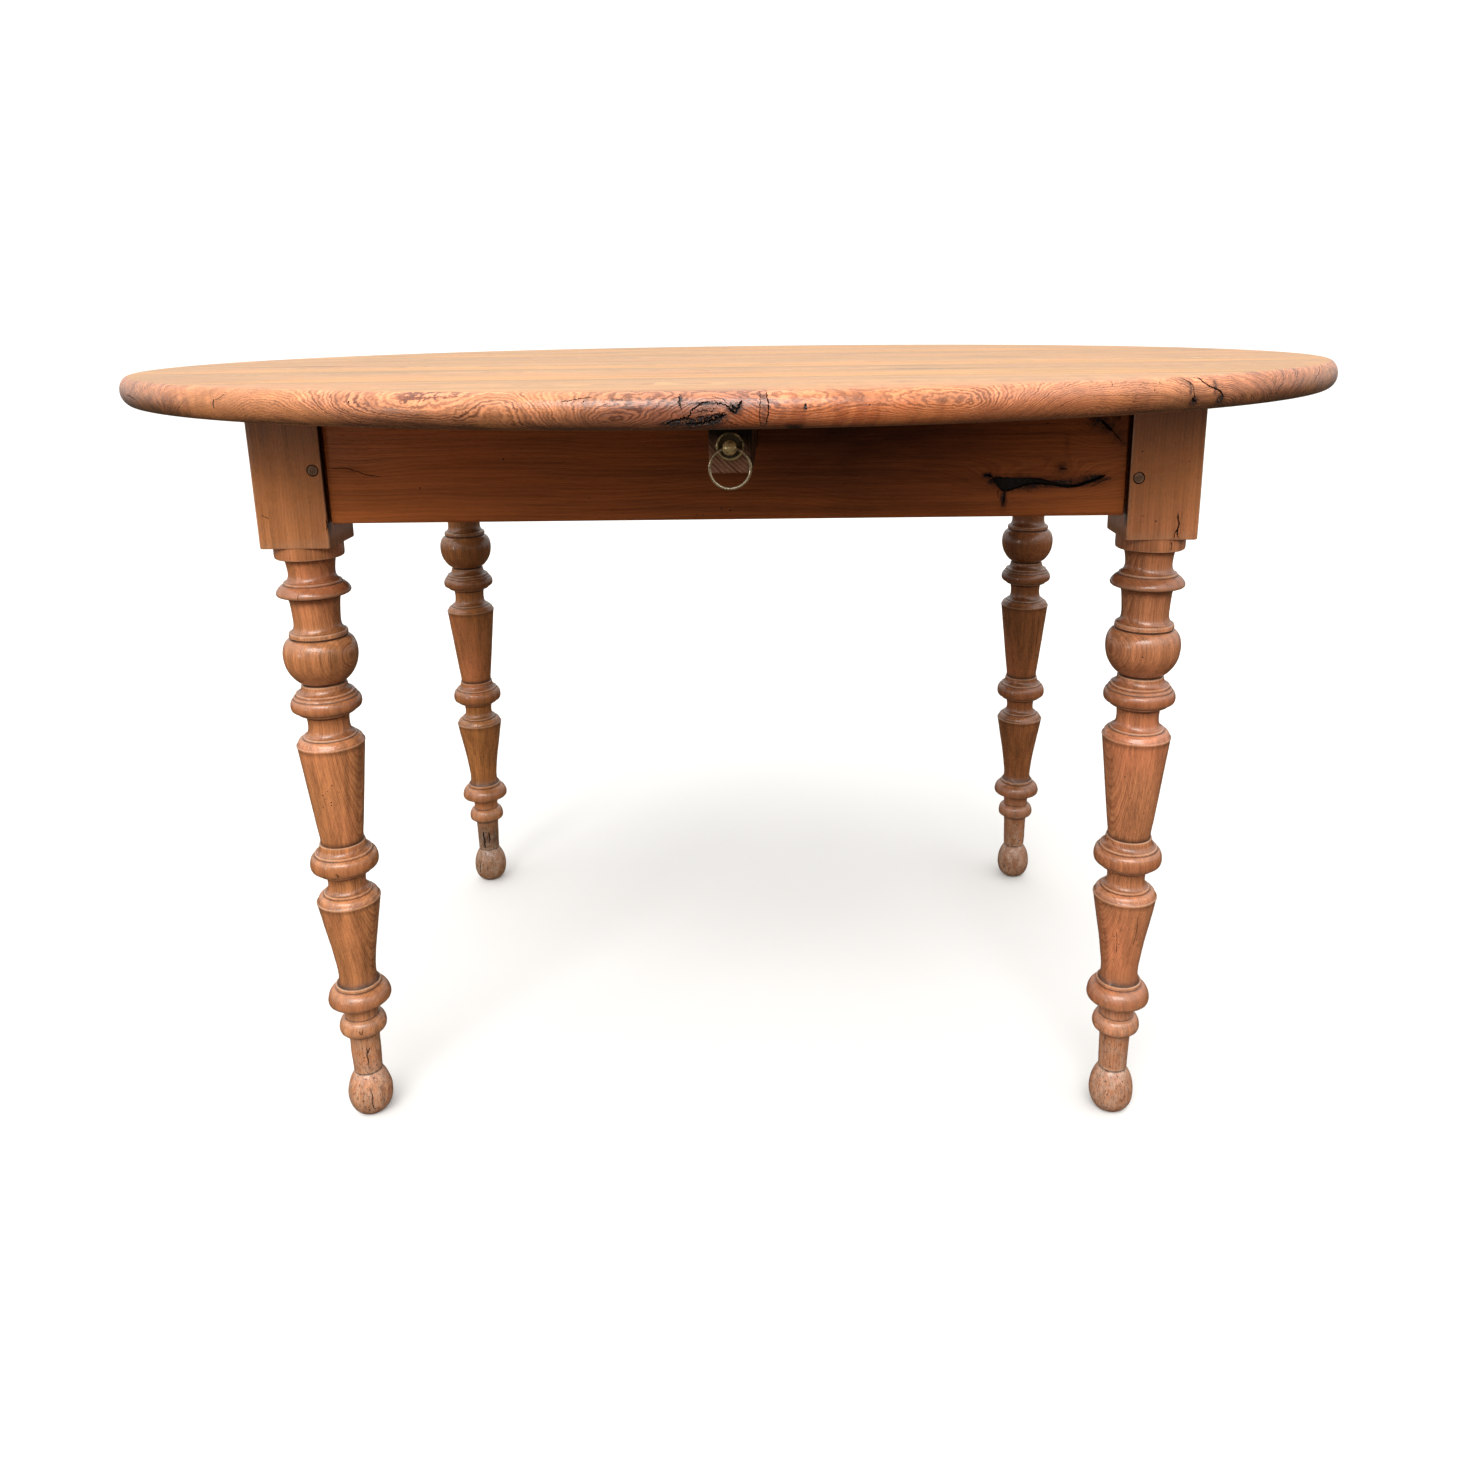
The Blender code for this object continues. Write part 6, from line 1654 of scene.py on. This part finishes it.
def make_pull(side, sy, x, y, body):
    mm = 0.001
    at, out = (x, y, PULL_Z), (0, sy, 0)
    hole_r = POST_R + GAP
    # rose: a dished washer with a rolled rim
    prof = []
    for t in np.linspace(0, 1, 13):
        prof.append((hole_r + (ROSE_R * 0.78 - hole_r) * t, (1.25 - 0.55 * math.sin(math.pi * min(1.0, t * 1.15)) ** 2 + 0.45 * t ** 4) * mm))
    for t in np.linspace(0, 1, 15)[1:]:
        a = math.pi * t
        prof.append((ROSE_R * 0.89 - ROSE_R * 0.11 * math.cos(a), 1.70 * mm + (ROSE_T - 1.70 * mm) * math.sin(a)))
    prof += [(ROSE_R, 1.0 * mm), (ROSE_R - 0.0002, GAP), (hole_r, GAP), (hole_r, 1.25 * mm)]
    ob = turned(prof, 72, BRASS_DARK, "visual_pull_rose_" + side, 40, at, out)
    r = np.array([math.hypot(v.co.x - x, v.co.z - PULL_Z) for v in ob.data.vertices])
    d = np.array([abs(v.co.y - y) for v in ob.data.vertices])
    # the rolled rim rubbed bright, brighter on its lower half, which is also a painted highlight
    down = np.array([max(0.0, (PULL_Z - v.co.z) / ROSE_R) for v in ob.data.vertices])
    store(ob, "wear", step(d, 1.9 * mm, 2.5 * mm) * (0.36 + 0.60 * down))
    store(ob, "grime_and_shade", step(r, ROSE_R * 0.80, ROSE_R * 0.55))
    finish_piece(ob, body, "old_brass", f"pull_rose_{side}")
    # post: shank in the loper, waisted neck, ball with a cross hole
    prof = []
    for t in np.linspace(0, 1, 26):
        a = math.radians(90 - t * 150)
        prof.append((BALL_R * math.cos(a) if t else 0.0, BALL_OUT + BALL_R * math.sin(a)))
    neck = through([(BALL_R * math.cos(math.radians(-60)), BALL_OUT + BALL_R * math.sin(math.radians(-60))),
                    (POST_R * 1.10, BALL_OUT - BALL_R - 0.2 * mm), (POST_R * 1.02, 3.6 * mm), (POST_R * 1.12, 2.2 * mm),
                    (POST_R * 1.08, 1.6 * mm)], 0.0003)
    prof += [tuple(q) for q in neck[1:]]
    prof += [(POST_R, 1.4 * mm), (POST_R, -POST_IN), (0.0, -POST_IN)]
    ob = turned(prof, 56, BRASS_BRIGHT, "visual_pull_post_" + side, 40, at, out)
    pivot = (x, y + sy * BALL_OUT, PULL_Z)
    carve(ob, [from_bmesh("eye", add_rod(bmesh.new(), (x - 0.02, pivot[1], PULL_Z), (x + 0.02, pivot[1], PULL_Z), EYE_R, 36), BRASS_DARK)],
          smooth=40)
    finish_piece(ob, body, "old_brass", f"pull_post_{side}")
    # ring: wire drawn round by hand, a little uneven and flattened where it rubs in the eye
    rng = np.random.default_rng(77 + (sy > 0))
    major, minor = 144, 20
    phase = rng.uniform(0, 6.28, 3)
    verts, faces, wear = [], [], []
    for i in range(major):
        a = 2 * math.pi * i / major
        big = RING_R * (1 + 0.008 * math.sin(2 * a + phase[0]) + 0.004 * math.sin(3 * a + phase[1]))
        c = Vector((x + big * math.sin(a), pivot[1], PULL_Z - RING_R + RING_R + (big * math.cos(a) - RING_R)))
        o = Vector((math.sin(a), 0, math.cos(a)))
        thin = WIRE_R * (1.0 - 0.16 * math.exp(-(min(a, 2 * math.pi - a) / 0.22) ** 2) + 0.03 * math.sin(5 * a + phase[2]))
        for j in range(minor):
            b = 2 * math.pi * j / minor
            verts.append(c + o * (thin * math.cos(b)) + Vector((0, thin * math.sin(b), 0)))
            wear.append(0.35 + 0.65 * max(0.0, math.cos(a - math.pi)))
    for i in range(major):
        for j in range(minor):
            n, m = (i + 1) % major, (j + 1) % minor
            faces.append((i * minor + j, i * minor + m, n * minor + m, n * minor + j))
    ob = solid("visual_pull_ring_" + side, verts, faces, BRASS_RING, 60)
    store(ob, "wear", wear)
    finish_piece(ob, "ring_" + side, "old_brass", f"pull_ring_{side}")


# --------------------------------------------------- what is under the top
def screw_places():
    out = []
    for side, sx in (("left", -1), ("right", 1)):
        for i, y in enumerate(BATTEN_SCREWS):
            out.append((f"batten_screw_{side}_{i + 1}", sx * BATTEN_X, y, FRAME_TOP - BATTEN_H))
    for name, (x, sy) in BUTTONS.items():
        out.append((f"button_screw_{name}", x, sy * (APRON_FY - APRON_T - 0.019), FRAME_TOP - BUTTON_H))
    for side, sx in (("left", -1), ("right", 1)):
        out.append((f"button_screw_{side}", sx * (APRON_SX - APRON_T - 0.019), SIDE_BUTTON_Y[side], FRAME_TOP - BUTTON_H))
    return out


def make_screws():
    """Slotted, flat-headed, heads down."""
    for n, (name, x, y, z) in enumerate(screw_places()):
        tip, head = UNDER + SCREW_BITE, z + 0.0004
        prof = [(0.0, tip), (SCREW_R * 0.35, tip - 0.0004), (SCREW_R, tip - 0.004), (SCREW_R, head + SCREW_HEAD_H),
                (SCREW_HEAD_R * 0.97, head + 0.0003), (SCREW_HEAD_R, head + 0.0001), (SCREW_HEAD_R * 0.96, head), (0.0, head)]
        ob = turned(prof, 32, IRON, "visual_" + name, 35, (x, y, 0), (0, 0, 1))
        turn = 0.4 + 1.7 * n
        bm = add_box(bmesh.new(), (-0.006, -0.00055, head - 0.001), (0.006, 0.00055, head + 0.0011))
        bmesh.ops.rotate(bm, verts=bm.verts[:], cent=(0, 0, 0), matrix=Matrix.Rotation(turn, 3, "Z"))
        bmesh.ops.translate(bm, verts=bm.verts[:], vec=(x, y, 0))
        carve(ob, [from_bmesh("slot", bm, IRON)], smooth=35)
        finish_piece(ob, "frame", "iron", name)


def paint(node, mat):
    ob = CAD[node]
    if not ob.material_slots:
        ob.data.materials.append(mat)
    for s in ob.material_slots:
        s.material = mat


def make_inside():
    """Battens, runners, rail and buttons keep their shape and get a sawn, dusty finish."""
    look = dict(contrast=0.75, warp=0.006, reach=0.20, streak=0.25, fibre=0.30, blotch=0.25, blush=(0.30, 0.165, 0.082), rough=(0.60, 0.80),
                spec=0.25, relief=0.9, dust=0.35, holes=0.04)
    along_y = wood("inner_wood_y", "Y", (0.03, 0.66), 0.0030, EARLY_IN, LATE_IN, 51.0, **look)
    along_x = wood("inner_wood_x", "X", (0.06, 0.62), 0.0030, EARLY_IN, LATE_IN, 52.0, **look)
    for side in ("left", "right"):
        paint(f"top_batten_{side}", along_y)
        paint(f"loper_guide_{side}", along_y)
    paint("bearer_rail", along_x)
    for name in list(BUTTONS):
        paint(f"turn_button_{name}", along_y)
    for name in SIDE_BUTTON_Y:
        paint(f"turn_button_{name}", along_x)


PEG_MAT = {}
for _axis, _seed in (("X", 61.0), ("Y", 62.0)):
    PEG_MAT[_axis] = wood(f"peg_wood_{_axis.lower()}", _axis, (0.02, 0.64), 0.0016, (0.250, 0.145, 0.088), (0.095, 0.048, 0.028), _seed,
                          warp=0.003, reach=0.10, wander=0.0004, contrast=0.8, streak=0.3, fibre=0.3, blotch=0.2,
                          blush=(0.18, 0.11, 0.075), rough=(0.48, 0.66), spec=0.3)
BRASS_DARK = old_brass("brass_tarnished", 0.05, 1.3, (0.62, 0.52, 0.30), (0.25, 0.55))
# the post and ball: pale yellow with little metal, a painted reflection that keeps them bright in the shade of the top,
# as well as brass rubbed bright
BRASS_BRIGHT = old_brass("brass_rubbed_and_painted_bright", 0.32, 4.1, (1.0, 0.86, 0.46), (0.12, 0.35))
BRASS_RING = old_brass("brass_ring", 0.14, 7.7, (0.72, 0.64, 0.46), (0.40, 0.75))
IRON = old_iron("iron_rusty")

make_camera()
make_light()
make_floor()
make_top()
make_legs()
make_aprons()
make_lopers()
make_screws()
make_inside()
